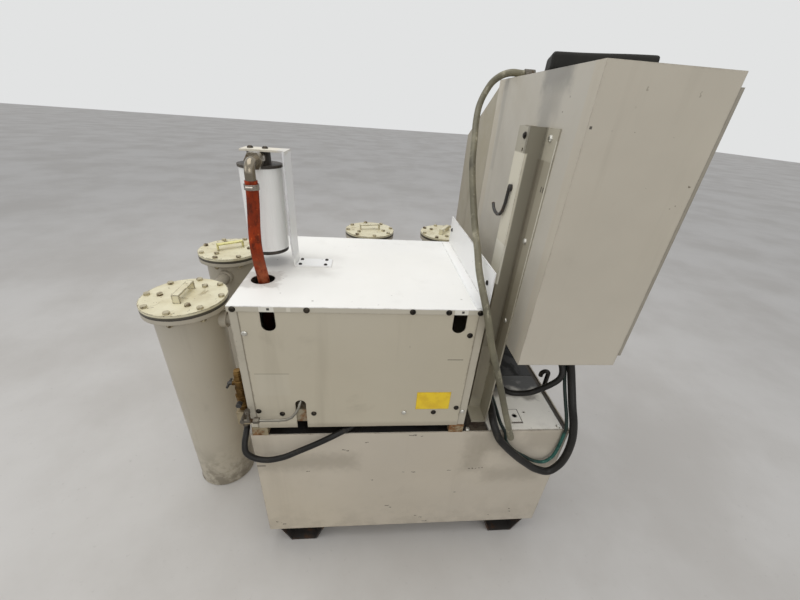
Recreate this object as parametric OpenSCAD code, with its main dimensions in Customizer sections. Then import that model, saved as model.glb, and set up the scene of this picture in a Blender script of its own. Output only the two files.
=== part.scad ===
// High-pressure coolant unit: tank, pump cabinet, bag-filter canisters and control enclosure.
// Lengths are in millimetres. The layout is measured from the tank's front left corner on the
// floor and is then moved so that the origin is the bottom centre of the whole unit.

/* [Tank] */
// Length of the coolant tank along X
tank_w = 1026; // [1000:1:1100]
// Depth of the coolant tank, front to back
tank_d = 900; // [860:1:960]
// Height of the tank's welded body
tank_h = 516; // [470:1:560]
// Thickness of the tank's plates
tank_t = 4; // [3:0.5:5]
// Thickness of the deck plates that close the tank
deck_t = 4; // [3:0.5:5]
// Height of the skids under the tank
skid_h = 86; // [70:1:110]
// Width of a skid where it meets the tank
skid_w = 170; // [150:1:190]
// Width of a skid's flat sole
sole_w = 95; // [80:1:110]
// Distance from a skid to the tank's end
skid_inset = 33; // [20:1:60]
// Diameter of the threaded drain bore
drain_d = 30; // [24:1:36]

/* [Pump cabinet] */
// Width of the pump cabinet
cab_w = 652; // [640:1:680]
// Depth of the pump cabinet
cab_d = 518; // [500:1:560]
// Height from the front panel's lower edge to the cover's top
cab_h = 425; // [415:1:470]
// Gap between the deck and the cabinet, held open by the feet
cab_gap = 33; // [25:1:45]
// Distance from the tank's left end to the cabinet
cab_x = 7; // [4:1:20]
// Thickness of the cabinet's sheet metal
cab_t = 2; // [1.5:0.5:2.5]
// Height of the cover's folded lip
lip_h = 16; // [12:1:20]
// Bare strip of the casing beside the front panel
strip_w = 23; // [18:1:28]
// Width of a lifting slot in the front panel
slot_w = 36; // [30:1:42]
// Height of a lifting slot
slot_h = 60; // [50:1:70]
// Diameter of the hose hole in the cover
hose_hole_d = 64; // [50:1:72]
// Height of the drip shield above the cover
shield_h = 103; // [80:1:120]

/* [Pump and motor] */
// Diameter of the motor's body over its fins
motor_d = 196; // [180:1:204]
// Length of the motor's body
motor_len = 205; // [190:1:212]
// Height of the shaft above the pump rails
shaft_h = 120; // [114:1:130]
// Diameter of the motor's shaft
motor_shaft_d = 28; // [24:1:32]
// Diameter of the pump's shaft
pump_shaft_d = 22; // [18:1:24]
// Outer diameter of the coupling
coupling_d = 66; // [60:1:76]

/* [Filter canisters] */
// Outer diameter of a canister's pipe body
can_d = 219; // [200:1:224]
// Wall of a canister's body
can_t = 4; // [3:0.5:6]
// Diameter of the lid and of the flange ring
lid_d = 272; // [266:1:280]
// Height of the lid's top above the floor
lid_top = 891; // [870:1:930]
// Thickness of the lid
lid_t = 17; // [12:1:20]
// Bolt circle of the lid's rim bolts
rim_pcd = 244; // [242:1:248]
// Bolt circle of the three inner bolts
inner_pcd = 160; // [150:1:166]
// Distance from the tank's left end to the left canisters' axis
can_left = 281; // [250:1:320]
// Distance behind the tank's back wall to the rear canisters' axis
can_back = 272; // [240:1:320]
// Outer diameter of the filter pipes
pipe_d = 48; // [42:1:50]
// Height of the inlet pipes
inlet_z = 800; // [780:1:810]
// Height of the outlet pipes
outlet_z = 200; // [180:1:260]

/* [Separator] */
// Diameter of the separator's shell
sep_d = 112; // [100:1:116]
// Length of the separator's shell
sep_len = 228; // [210:1:240]
// Diameter of the separator's head
sep_head_d = 118; // [117:1:126]
// Height of the separator bracket above the cover
bracket_h = 326; // [316:1:350]
// Thickness of the bracket
bracket_t = 5; // [4:0.5:6]
// Bore diameter of the elbow pipe
elbow_bore = 19; // [16:1:20]

/* [Control enclosure] */
// Width of the enclosure's shell
enc_w = 271; // [255:1:300]
// Depth of the enclosure
enc_d = 564; // [540:1:600]
// Height of the enclosure
enc_h = 676; // [650:1:700]
// Height of the enclosure's floor above the deck
enc_lift = 322; // [315:1:350]
// How far the enclosure reaches out in front of the tank
enc_front = 55; // [45:1:70]
// Gap between the cabinet and the enclosure
enc_gap = 89; // [84:1:100]
// Thickness of the enclosure's sheet metal
enc_t = 2; // [1.5:0.5:3]
// Thickness of the folded door
door_t = 8; // [7:1:12]
// Depth of the pedestal behind the enclosure
ped_d = 300; // [260:1:320]
// Depth of the post that carries the enclosure, along X
post_w = 42; // [36:1:46]
// Width of the post's front face
post_face = 65; // [55:1:70]
// Width of each of the post's flanges
flange_w = 64; // [55:1:70]
// Height of the post's top below the enclosure's top
post_drop = 115; // [100:1:140]

/* [Hidden] */
$fn = 48;
fit = 0.3;
// Gap at the seams between the tank's sheets
seam = 0.2;
turn_fit = 0.05;

// Heights of the main levels
deck_z = skid_h + tank_h;
cab_z = deck_z + cab_gap;
cab_top = cab_z + cab_h;
cab_right = cab_x + cab_w;
enc_z = deck_z + enc_lift;
enc_top = enc_z + enc_h;
post_top = enc_top - post_drop;

// Control enclosure and its post
post_y = 103;
plate_t = 3;
enc_x = cab_right + enc_gap;
enc_right = enc_x + enc_w;
enc_y = -enc_front;
enc_back = enc_y + enc_d;
return_w = 24;
door_x = enc_right + fit;
door_end = door_x + door_t;
door_back = enc_back - 26;
door_z = enc_z + 33;
door_h = enc_h - 58;
hinge_r = 6;
hinge_x = enc_right + hinge_r + 0.5;
hinge_y = door_back + hinge_r + 0.5;
pin_r = 2.5;
knuckle_len = 22;
hinge_z = [door_z + 80, door_z + door_h - 80];
latch_y = enc_y + 60;
latch_z = door_z + door_h / 2;
latch_shaft_r = 7;
latch_reach = 30;
latch_throw = 46;

// Canister places: two to the left of the tank and two behind it
left_x = -can_left;
back_y = tank_d + can_back;
can_1 = [left_x, 350];
can_2 = [left_x, 805];
can_3 = [353, back_y];
can_4 = [783, back_y];
lid_turn = [90, 33, 12, 60];
cans = [can_1, can_2, can_3, can_4];
gasket_t = 3;
flange_t = 16;
flange_z = lid_top - lid_t - gasket_t - flange_t;
rim_count = 8;
inner_count = 3;
lid_bolt_r = 6;
socket_len = 20;
socket_r = pipe_d / 2 + 7;
pipe_r = pipe_d / 2;
pipe_t = 3.5;

// The origin is the bottom centre of the unit without its hoses
left_end = left_x - lid_d / 2;
right_end = max(tank_w, enc_right + latch_reach);
front_end = enc_y;
back_end = back_y + lid_d / 2;
middle = [(left_end + right_end) / 2, (front_end + back_end) / 2, 0];

// Pump, motor and their line of shafts, which runs along X
rail_h = 40;
frame_h = 30;
rail_z = cab_z + frame_h;
rail_top = rail_z + rail_h;
shaft_y = 335;
shaft_z = rail_top + shaft_h;
pump_x = cab_x + 68;
pump_len = 140;
bell_x = pump_x + pump_len;
bell_len = 120;
motor_x = bell_x + bell_len;
motor_end = motor_x + motor_len;
fan_len = 78;
fan_r = motor_d / 2 - 14;
rotor_r = 52;
hub_len = 28;
spider_w = 12;
spider_x = bell_x + 62;
rail_1_x = cab_x + 141;
rail_2_x = cab_x + 501;
rail_w = 60;
suction_x = pump_x + 17;
suction_r = 21;

// Valve group on the cabinet's left front corner
block = [38, 42, 50];
block_x = cab_x - fit - block[0];
block_y = 8;
block_z = deck_z + 40;
valve_x = block_x + 17;
valve_y = block_y + 22;
valve_z = block_z + block[2];
outlet_r = 9;

// Separator on the cabinet's left rear part
sep_x = cab_x + 40;
sep_y = 278;
sep_z = cab_top + 52;
sep_top = sep_z + sep_len;
leg_x = cab_x + 116;
leg_y = 208;
leg_w = 86;
foot_w = 110;
foot_y = 240;
foot_d = 56;
bracket_top = cab_top + bracket_h;
neck_r = 30;
port_z = sep_top + 24;
elbow_y = 154;
elbow_x = sep_x + 9;
elbow_r = 13;
elbow_bend = 24;
hose_x = cab_x + 47;
hose_y = 149;
hose_top = cab_top + 264;

// Breather and drain port at the tank's right end
breather_y = 215;
drain_y = 120;
drain_z = skid_h + 60;

// Edges of the service cover, which the deck plate surrounds
cover_x = enc_x - 3;
cover_end_x = tank_w - tank_t - 18;
cover_end_y = 268;

// Cabinet's feet, slots, arch and drip shield
foot_side = 46;
slot_1_x = cab_x + 74;
slot_2_x = cab_right - 53 - slot_w;
arch_x = cab_x + 151;
arch_r = 15;
arch_top = cab_z + 111;
shield_t = 3;
shield_foot = 32;

// Places of the domed screws: [x, z] on the cabinet's front, [y, z] on the post, the rest as named
screw_r = 4;
screw_hole = 4.3;
panel_bolts = [[cab_x + 30, cab_z + 344], [cab_right - 37, cab_z + 344], [cab_x + 30, cab_z + 70],
    [cab_right - 36, cab_z + 76], [cab_x + 96, cab_z + 58], [cab_x + 187, cab_z + 58],
    [cab_x + 456, cab_z + 58], [cab_x + 547, cab_z + 58]];
lip_bolts = [cab_x + 12, cab_x + 189, cab_x + 454, cab_x + 548, cab_right - 21];
foot_bolts = [[cab_right - 14, cab_z + 58]];
post_bolts = [for (y = [post_y - 31, post_y + post_face + 31], z = [enc_z + 60, enc_z + 300, post_top - 21]) [y, z]];
bracket_bolts = [for (x = [leg_x + 16, leg_x + foot_w - 18], y = [foot_y + 9, foot_y + foot_d - 9]) [x, y]];
sep_bolts = [sep_x - 17, sep_x + 21];
shield_bolts = [41, cab_d - 32];
cover_bolt = [cover_end_x - 12, 16];
deck_bolt = [cab_x + 671, 11];

// Pump ports and the pipes on them
head_y = shaft_y - 110;
port_x = pump_x + 25;
port_face_x = pump_x - 15;
suction_top = shaft_z - 66;
feed_z = block_z + 36;
rear_feed_x = pump_x + 70;
rear_feed_y = shaft_y + 65;
feed_y = cab_d - 48;
shaft_start = spider_x + spider_w + 1;
fan_x = motor_end + 12;

// Brass valve stack: [height, radius, number of sides or 0 for round]
stack = [[12, 15, 6], [41, 16, 0], [20, 15, 6], [35, 12.5, 0], [15, 12, 6], [18, 9, 0]];

// Height of the stack's piece i above the valve block
function stack_z(i) = i == 0 ? 0 : stack_z(i - 1) + stack[i - 1][0];

lever_z = valve_z + stack_z(3) + 20;
knob_z = valve_z + stack_z(1) + 26;
bypass_z = block_z + 46;

// Lid handles and filter baskets
handle_len = 112;
handle_w = 24;
handle_h = 30;
bar_t = 5;
basket_r = 82;
basket_z = 150;
ring_z = flange_z + flange_t - 5;

// Back plate of the enclosure, its mounting places as [y, z], and the switchgear on it
plate_gap = 16;
plate_margin = 34;
plate_x = enc_x + enc_t + plate_gap;
plate_places = [for (y = [enc_y + plate_margin + 14, enc_back - plate_margin - 14],
    z = [enc_z + plate_margin + 14, enc_top - plate_margin - 14]) [y, z]];
rail_rows = [enc_z + 400, enc_z + 540];
device_x = plate_x + plate_t + 7.5;
switch_y = enc_y + 120;
switch_d = 74;

// Hose routes: [x, y, z] in the layout, chosen by hand. The red hose's heights start at its lower end
red_r = 15.5;
drain_r = 9;
conduit_r = 9.5;
loop_r = 12.5;
earth_r = 5.5;
link_r = 9.5;
red_foot = deck_z + 58;
red_rise = (hose_top - red_foot) / 664;
red_route = [[56, 154, 664], [56, 154, 640], [54, 150, 595], [51, 144, 545], [50, 141, 495],
    [53, 142, 445], [56, 147, 400], [56, 149, 350], [54, 149, 290], [54, 149, 0]];
drain_route = [[-15, 22, 628], [-15, 22, 616], [-16, 8, 600], [-17, -10, 582], [-12, -25, 556], [8, -29, 538],
    [43, -30, 527], [90, -30, 535], [149, -28, 564], [205, -23, 591], [250, -14, 610], [300, 14, 616]];
conduit_route = [[780, 426, 1613], [748, 427, 1613], [727, 438, 1606], [705, 447, 1588], [689, 447, 1562],
    [672, 430, 1529], [659, 396, 1486], [650, 350, 1434], [641, 305, 1384], [637, 222, 1289], [638, 160, 1221],
    [638, 110, 1180], [638, 70, 1141], [641, 25, 1105], [646, -16, 1069], [679, -24, 960], [716, -38, 856],
    [761, -42, 730], [803, -38, 620]];
loop_route = [[985, 92, 913], [985, 92, 898], [1009, 70, 786], [1013, 45, 738], [1013, 15, 694], [1021, -8, 643],
    [1030, -20, 578], [1030, -24, 542], [1026, -27, 503], [1014, -28, 461], [986, -28, 430], [941, -28, 441],
    [889, -28, 479], [845, -27, 518], [806, -25, 558], [776, -22, 595], [759, 4, 634], [765, 55, 644],
    [764, 170, 660], [762, 235, 668], [740, 275, 680]];
earth_route = [[1000, 125, 913], [1000, 125, 898], [997, 92, 795], [997, 64, 742], [997, 32, 698],
    [1001, 4, 650], [1003, -8, 618], [1004, -8, 590], [1003, -9, 545], [998, -12, 512], [988, -13, 480],
    [968, -14, 462], [935, -13, 464], [893, -9.5, 486], [850, -8, 515], [826, -7.5, 541], [808, -7.5, 572],
    [800, -9, 604], [786, 14, 626], [788, 60, 630], [790, 175, 645], [786, 240, 655], [735, 325, 684]];
link_route = [[965, 150, 913], [965, 150, 898], [966, 112, 850], [969, 60, 774], [944, 60, 746], [918, 65, 723],
    [891, 70, 703], [863, 80, 690], [833, 90, 685], [806, 120, 686], [796, 200, 700], [788, 250, 715],
    [765, 305, 735], [725, 350, 752]];

// Corners of the hoses' elbow fittings, and the glands under the enclosure as [x, y, hose radius]
stub_len = 17;
loop_corner = [676, 300, 690];
earth_corner = [676, 340, 690];
link_corner = [676, 380, 760];
conduit_corner = [806, 426, 1613];
drain_corner = [335, 40, 616];
glands = [[985, 92, loop_r], [1000, 125, earth_r], [965, 150, link_r]];
gland_len = 11;

// Elbow fittings: [foot on the wall or plate, corner, next point of the route, hose radius]
elbows = [[[cab_right, loop_corner[1], loop_corner[2]], loop_corner, loop_route[len(loop_route) - 1], loop_r],
    [[cab_right, earth_corner[1], earth_corner[2]], earth_corner, earth_route[len(earth_route) - 1], earth_r],
    [[cab_right, link_corner[1], link_corner[2]], link_corner, link_route[len(link_route) - 1], link_r],
    [[conduit_corner[0], conduit_corner[1], enc_top], conduit_corner, conduit_route[0], conduit_r],
    [[drain_corner[0], drain_corner[1], deck_z], drain_corner, drain_route[len(drain_route) - 1], drain_r]];

// Moves a piece from the layout to the unit's origin
module unit() {
    translate(-middle) children();
}

// Cylinder along +X from a point
module rod_x(p, r, h) {
    translate(p) rotate([0, 90, 0]) cylinder(r = r, h = h);
}

// Cylinder along +Y from a point
module rod_y(p, r, h) {
    translate(p) rotate([-90, 0, 0]) cylinder(r = r, h = h);
}

// Cylinder along +Z from a point
module rod_z(p, r, h) {
    translate(p) cylinder(r = r, h = h);
}

// Box from a low corner
module box(p, s) {
    translate(p) cube(s);
}

// Direction of a route at point i
function heading(p, i) =
    let (a = p[min(i + 1, len(p) - 1)], b = p[max(i - 1, 0)])
    (a - b) / norm(a - b);

// Round tube swept along a route; side is a direction that the route never follows
module swept(p, r, side, sides = 10) {
    rings = [for (i = [0:len(p) - 1])
        let (t = heading(p, i), u = cross(side, t) / norm(cross(side, t)), v = cross(t, u))
        for (k = [0:sides - 1]) p[i] + r * (cos(360 * k / sides) * u + sin(360 * k / sides) * v)];
    walls = [for (i = [0:len(p) - 2]) for (k = [0:sides - 1])
        [i * sides + k, (i + 1) * sides + k, (i + 1) * sides + (k + 1) % sides, i * sides + (k + 1) % sides]];
    start = [for (k = [0:sides - 1]) k];
    end = [for (k = [sides - 1:-1:0]) (len(p) - 1) * sides + k];
    polyhedron(points = rings, faces = concat([start, end], walls));
}

// End of an elbow fitting that turns from its corner toward the hose's next point
function stub_end(corner, next) = corner + stub_len * (next - corner) / norm(next - corner);

// Last point of a route
function last(p) = p[len(p) - 1];

// Round bar from point a to point b
module link(a, b, r) {
    d = b - a;
    translate(a) rotate([0, acos(d[2] / norm(d)), atan2(d[1], d[0])]) cylinder(r = r, h = norm(d));
}

// Pipe run with round corners at the points between
module pipe_run(p, r) {
    for (i = [0:len(p) - 2]) link(p[i], p[i + 1], r);
    for (i = [1:len(p) - 2]) translate(p[i]) sphere(r = r);
}

// Domed screw that points up, with its shank below
module dome(head_r, head_h, shank_len) {
    rotate_extrude() polygon([[0, -shank_len], [screw_r, -shank_len], [screw_r, 0], [head_r, 0],
        [head_r * 0.92, head_h * 0.5], [head_r * 0.6, head_h * 0.9], [0, head_h]]);
}

// Front, back, left and right sheets and the floor sheet between them
module tank() unit() color("#a8a498") {
    side_y = tank_t + seam;
    side_d = tank_d - 2 * side_y;
    box([0, 0, skid_h], [tank_w, tank_t, tank_h]);
    difference() {
        box([0, tank_d - tank_t, skid_h], [tank_w, tank_t, tank_h]);
        rod_y([can_4[0], tank_d - tank_t - 1, outlet_z], pipe_r + fit, tank_t + 2);
    }
    difference() {
        box([0, side_y, skid_h], [tank_t, side_d, tank_h]);
        rod_x([-1, can_2[1], outlet_z], pipe_r + fit, tank_t + 2);
    }
    difference() {
        box([tank_w - tank_t, side_y, skid_h], [tank_t, side_d, tank_h]);
        rod_x([tank_w - 20, drain_y, drain_z], drain_d / 2, 60);
    }
    box([side_y, side_y, skid_h], [tank_w - 2 * side_y, side_d, tank_t]);
}

// Ledge that the deck plates lie on, and settling weirs
module tank_inserts() unit() color("#a8a498") {
    ledge_w = 26;
    inner_d = tank_d - 2 * tank_t;
    ledge_z = deck_z - deck_t - tank_t;
    for (y = [tank_t, tank_d - ledge_w]) box([tank_t, y, ledge_z], [tank_w - 2 * tank_t, ledge_w - tank_t, tank_t]);
    for (x = [tank_t, tank_w - ledge_w])
        box([x, ledge_w + seam, ledge_z], [ledge_w - tank_t, tank_d - 2 * (ledge_w + seam), tank_t]);
    box([tank_w * 0.42, tank_t, skid_h + tank_t], [tank_t, inner_d, tank_h * 0.62]);
    box([tank_w * 0.68, tank_t, skid_h + 60], [tank_t, inner_d, tank_h * 0.6]);
}

// Folded channel that carries the tank and takes a fork
module skid(x) {
    slope = (skid_w - sole_w) / 2;
    wall = 4;
    translate([x, tank_d - 4, 0]) rotate([90, 0, 0]) linear_extrude(height = tank_d - 8) difference() {
        polygon([[0, skid_h], [slope, 0], [slope + sole_w, 0], [skid_w, skid_h]]);
        polygon([[wall * 1.2, skid_h + 1], [slope + wall, wall], [slope + sole_w - wall, wall],
            [skid_w - wall * 1.2, skid_h + 1]]);
    }
}

module skids() unit() color("#2b2a28") {
    skid(skid_inset);
    skid(tank_w - skid_inset - skid_w);
}

module deck_plate() unit() color("#8f8b80") difference() {
    box([tank_t + 2, tank_t + 2, deck_z - deck_t], [cover_end_x - tank_t - 2, tank_d - 2 * tank_t - 4, deck_t]);
    box([cover_x - 2, 0, deck_z - deck_t - 1], [tank_w, cover_end_y + 2, deck_t + 2]);
    rod_z([suction_x, shaft_y, deck_z - 50], suction_r + 4, 100);
    rod_z([hose_x, hose_y, deck_z - 50], 12, 100);
    rod_z([drain_corner[0], drain_corner[1], deck_z - 50], 8, 100);
    rod_z([deck_bolt[0], deck_bolt[1], deck_z - 50], screw_hole, 100);
}

module service_cover() unit() color("#d4d1c6") {
    difference() {
        box([cover_x, tank_t + 2, deck_z - deck_t], [cover_end_x - cover_x, cover_end_y - tank_t - 2, deck_t]);
        rod_z([856, 62, deck_z - 20], 12, 40);
        rod_z([897, 80, deck_z - 20], 4, 40);
        rod_z([cover_bolt[0], cover_bolt[1], deck_z - 20], screw_hole, 40);
    }
    // Inspection plate
    difference() {
        box([838, 34, deck_z], [36, 56, 3]);
        rod_z([856, 62, deck_z - 1], 8, 10);
    }
}

module suction_pipe() unit() color("#9a9c9e") {
    strainer_z = skid_h + 40;
    difference() {
        union() {
            rod_z([suction_x, shaft_y, strainer_z + 120], suction_r, suction_top - strainer_z - 120);
            rod_z([suction_x, shaft_y, deck_z + 3], suction_r + 9, 14);
            rod_z([suction_x, shaft_y, strainer_z], 46, 130);
        }
        rod_z([suction_x, shaft_y, strainer_z + 6], suction_r - pipe_t, shaft_z);
        rod_z([suction_x, shaft_y, strainer_z + 6], 42, 118);
        for (row = [0:3], k = [0:5])
            translate([suction_x, shaft_y, strainer_z + 25 + row * 26]) rotate([0, 90, 60 * k + 30])
                cylinder(r = 7, h = 60);
    }
}

module cabinet_frame() unit() color("#8a7a5e") {
    side = cab_d - 4 * cab_t - 2 * fit;
    frame_w = 28;
    rail_in = cab_x + cab_t + fit;
    rail_far = cab_right - cab_t - fit - frame_w;
    for (x = [cab_x, cab_right - foot_side], y = [0, cab_d - foot_side])
        box([x, y, deck_z], [foot_side, foot_side, cab_gap]);
    for (x = [rail_in, rail_far]) difference() {
        box([x, cab_t * 2 + fit, cab_z], [frame_w, side, frame_h]);
        box([x + 4, -1, cab_z + 4], [frame_w - 8, cab_d + 2, frame_h - 8]);
    }
    for (y = [64, cab_d - 104])
        box([rail_in + frame_w - 1, y, cab_z], [rail_far - rail_in - frame_w + 2, 40, frame_h]);
}

// Channel across the frame with an end plate that the front panel is bolted to
module pump_rail(x) {
    wall = 5;
    difference() {
        box([x - rail_w / 2, cab_t * 2 + fit, rail_z], [rail_w, cab_d - 4 * cab_t - 2 * fit, rail_h]);
        box([x - rail_w / 2 + wall, -1, rail_z - 1], [rail_w - 2 * wall, cab_d + 2, rail_h - wall + 1]);
    }
    box([x - 56, cab_t * 2 + fit, rail_z - 8], [112, 5, 46]);
}

module pump_rails() unit() color("#b3a98f") difference() {
    union() {
        pump_rail(rail_1_x);
        pump_rail(rail_2_x);
    }
    panel_holes();
}

// Clearance holes for the screws of the cabinet's front
module panel_holes() {
    for (b = concat(panel_bolts, foot_bolts)) rod_y([b[0], -1, b[1]], screw_hole, 14);
    for (x = lip_bolts) rod_y([x, -4, cab_top - 9], screw_hole, 14);
}

module cabinet_casing() unit() color("#a5a194") difference() {
    flange = 46;
    box([cab_x, cab_t, cab_z], [cab_w, cab_d - cab_t, cab_h - cab_t - fit]);
    box([cab_x + cab_t, 2 * cab_t, cab_z - 1], [cab_w - 2 * cab_t, cab_d - 3 * cab_t, cab_h + 2]);
    box([cab_x + flange, -1, cab_z - 1], [cab_w - 2 * flange, cab_t * 2 + 2, cab_h + 2]);
    // Holes for the screws, pipes and fittings
    panel_holes();
    rod_x([cab_x - 1, can_1[1], inlet_z], pipe_r + 5, cab_t + 2);
    rod_y([can_3[0], cab_d - cab_t - 1, inlet_z], pipe_r + 5, cab_t + 2);
    rod_x([cab_x - 1, valve_y, feed_z], 10, cab_t + 2);
    for (e = elbows) rod_x([cab_right - cab_t - 1, e[0][1], e[0][2]], e[3], cab_t + 2);
}

// Lifting slot, flat at the top and round at the foot
module lifting_slot(x) {
    slot_top = cab_top - lip_h + 2;
    box([x, -1, slot_top - slot_h + slot_w / 2], [slot_w, cab_t * 2 + 2, slot_h - slot_w / 2]);
    rod_y([x + slot_w / 2, -1, slot_top - slot_h + slot_w / 2], slot_w / 2, cab_t * 2 + 2);
}

module front_panel() unit() color("#a9a598") difference() {
    box([cab_x + strip_w, 0, cab_z], [cab_w - 2 * strip_w, cab_t - 0.001, cab_h - cab_t - fit]);
    lifting_slot(slot_1_x);
    lifting_slot(slot_2_x);
    rod_y([arch_x, -1, arch_top - arch_r], arch_r, cab_t + 2);
    box([arch_x - arch_r, -1, cab_z - 1], [2 * arch_r, cab_t + 2, arch_top - arch_r - cab_z + 1]);
    panel_holes();
}

module cabinet_cover() unit() color("#e9e8e4") difference() {
    gap = cab_t + fit;
    box([cab_x - gap, -gap, cab_top - lip_h], [cab_w + 2 * gap, cab_d + 2 * gap, lip_h]);
    box([cab_x - fit, -fit, cab_top - lip_h - 1], [cab_w + 2 * fit, cab_d + 2 * fit, lip_h - cab_t + 1]);
    rod_z([hose_x, hose_y, cab_top - 10], hose_hole_d / 2, 20);
    for (b = bracket_bolts) rod_z([b[0], b[1], cab_top - 10], screw_hole, 20);
    panel_holes();
}

module drip_shield() unit() color("#dedcd5") difference() {
    union() {
        box([cab_right - shield_foot, 2, cab_top], [shield_foot, cab_d - 8, shield_t]);
        box([cab_right - shield_t, 2, cab_top], [shield_t, cab_d - 8, shield_h]);
    }
    for (y = shield_bolts) rod_x([cab_right - 10, y, cab_top + 58], screw_hole, 20);
}

module dome_screws() unit() color("#3b3835") {
    for (b = panel_bolts) translate([b[0], 0, b[1]]) rotate([90, 0, 0]) dome(8, 5, 10);
    for (b = foot_bolts) translate([b[0], cab_t, b[1]]) rotate([90, 0, 0]) dome(8, 5, 8);
    for (x = lip_bolts) translate([x, -cab_t - fit, cab_top - 9]) rotate([90, 0, 0]) dome(8, 5, 8);
    for (b = post_bolts) translate([enc_x - plate_t, b[0], b[1]]) rotate([0, -90, 0]) dome(8, 5, 8);
    for (b = bracket_bolts) translate([b[0], b[1], cab_top + bracket_t]) dome(5.5, 4, 10);
    for (x = sep_bolts) translate([x, sep_y - 11, bracket_top]) dome(8, 6, 11);
    for (y = shield_bolts) translate([cab_right - shield_t, y, cab_top + 58]) rotate([0, -90, 0]) dome(7, 4, 6);
    translate([cover_bolt[0], cover_bolt[1], deck_z]) dome(8, 4, deck_t);
    translate([deck_bolt[0], deck_bolt[1], deck_z]) dome(8, 5, deck_t);
    translate([enc_x - post_w, post_y + 20, post_top - 20]) rotate([0, -90, 0]) dome(8, 5, 6);
}

module pump_body() unit() color("#6f7f8a") difference() {
    crank_r = 62;
    union() {
        rod_x([pump_x, shaft_y, shaft_z], crank_r, pump_len);
        box([rail_1_x - rail_w / 2, shaft_y - 80, rail_top], [rail_w, 160, 14]);
        box([rail_1_x - 24, shaft_y - 52, rail_top], [48, 104, shaft_h]);
        box([pump_x + 12, head_y, shaft_z - 45], [pump_len - 20, 90, 90]);
        rod_z([suction_x, shaft_y, suction_top], suction_r + 6, 56);
        rod_x([port_face_x, can_1[1], inlet_z], pipe_r + 5, 30);
        rod_y([rear_feed_x, shaft_y, inlet_z], pipe_r + 6, rear_feed_y - shaft_y);
        for (k = [0:2]) rod_z([pump_x + 34 + k * 34, head_y + 30, shaft_z + 44], 12, 10);
    }
    rod_x([bell_x - 30, shaft_y, shaft_z], pump_shaft_d / 2 + turn_fit, 40);
    rod_z([suction_x, shaft_y, suction_top - 1], suction_r - 4, 45);
    rod_y([port_x, head_y - 1, inlet_z], 6, 30);
}

module pump_shaft() unit() color("#b9bcc0")
    rod_x([bell_x - 28, shaft_y, shaft_z], pump_shaft_d / 2, spider_x - bell_x + 26);

// Coupling half with three jaws that point along +X
module coupling_half(bore_r) {
    jaw_l = spider_w - 1;
    difference() {
        union() {
            cylinder(r = coupling_d / 2, h = hub_len);
            for (k = [0:2]) rotate(120 * k)
                box([coupling_d * 0.3, -6, hub_len - 1], [coupling_d * 0.19, 12, jaw_l + 1]);
        }
        translate([0, 0, -1]) cylinder(r = bore_r, h = hub_len + spider_w + 2);
    }
}

module coupling_hubs() unit() color("#777b80") {
    translate([spider_x - hub_len, shaft_y, shaft_z]) rotate([0, 90, 0])
        coupling_half(pump_shaft_d / 2 + turn_fit);
    translate([spider_x + spider_w + hub_len, shaft_y, shaft_z]) rotate([0, -90, 0])
        coupling_half(motor_shaft_d / 2 + turn_fit);
}

module coupling_spider() unit() color("#c4532a")
    translate([spider_x + fit, shaft_y, shaft_z]) rotate([0, 90, 0]) linear_extrude(height = spider_w - 2 * fit)
        difference() {
            union() {
                circle(r = coupling_d * 0.28);
                for (k = [0:5]) rotate(60 * k + 30) translate([0, -2.6]) square([coupling_d * 0.48, 5.2]);
            }
            circle(r = coupling_d * 0.2);
        }

module bell_housing() unit() color("#5d6a73") difference() {
    bell_r = 70;
    union() {
        rod_x([bell_x, shaft_y, shaft_z], bell_r, bell_len);
        rod_x([bell_x, shaft_y, shaft_z], bell_r + 12, 10);
        rod_x([motor_x - 10, shaft_y, shaft_z], bell_r + 14, 10);
    }
    rod_x([bell_x - 1, shaft_y, shaft_z], bell_r - 9, bell_len + 2);
    box([bell_x + 30, shaft_y - 100, shaft_z - 22], [bell_len - 60, 200, 44]);
}

module motor_body() unit() color("#4f6f86") difference() {
    shell_r = motor_d / 2 - 14;
    fin_len = motor_len - 30;
    union() {
        rod_x([motor_x, shaft_y, shaft_z], shell_r, motor_len);
        rod_x([motor_end - 12, shaft_y, shaft_z], motor_d / 2 - 4 - fit, 12);
        translate([motor_x + 13, shaft_y, shaft_z]) rotate([0, 90, 0]) for (k = [0:27]) rotate(k * 360 / 28)
            box([shell_r - 3, -1.5, 0], [17, 3, fin_len]);
        box([motor_x + 55, shaft_y - 45, shaft_z + shell_r - 14], [90, 90, 50]);
        box([rail_2_x - rail_w / 2, shaft_y - 84, rail_top], [rail_w - 12, 168, 12]);
        for (y = [-62, 42]) box([rail_2_x - rail_w / 2 + 4, shaft_y + y, rail_top], [34, 20, shaft_h - 40]);
    }
    rod_x([motor_x + 12, shaft_y, shaft_z], rotor_r + 1, motor_len - 24);
    rod_x([motor_x - 1, shaft_y, shaft_z], motor_shaft_d / 2 + turn_fit, motor_len + 2);
}

module motor_shaft() unit() color("#c2c5c8") {
    rod_x([shaft_start, shaft_y, shaft_z], motor_shaft_d / 2, fan_x + 34 - shaft_start);
    rod_x([motor_x + 26, shaft_y, shaft_z], rotor_r, motor_len - 52);
}

module motor_fan() unit() color("#2d2d2f") translate([fan_x, shaft_y, shaft_z]) rotate([0, 90, 0]) difference() {
    union() {
        cylinder(r = motor_shaft_d / 2 + 8, h = 30);
        cylinder(r = fan_r, h = 3);
        for (k = [0:7]) rotate(45 * k) box([motor_shaft_d / 2 + 6, -1.5, 1], [fan_r - motor_shaft_d / 2 - 7, 3, 26]);
    }
    translate([0, 0, -1]) cylinder(r = motor_shaft_d / 2 + turn_fit, h = 40);
}

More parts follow.
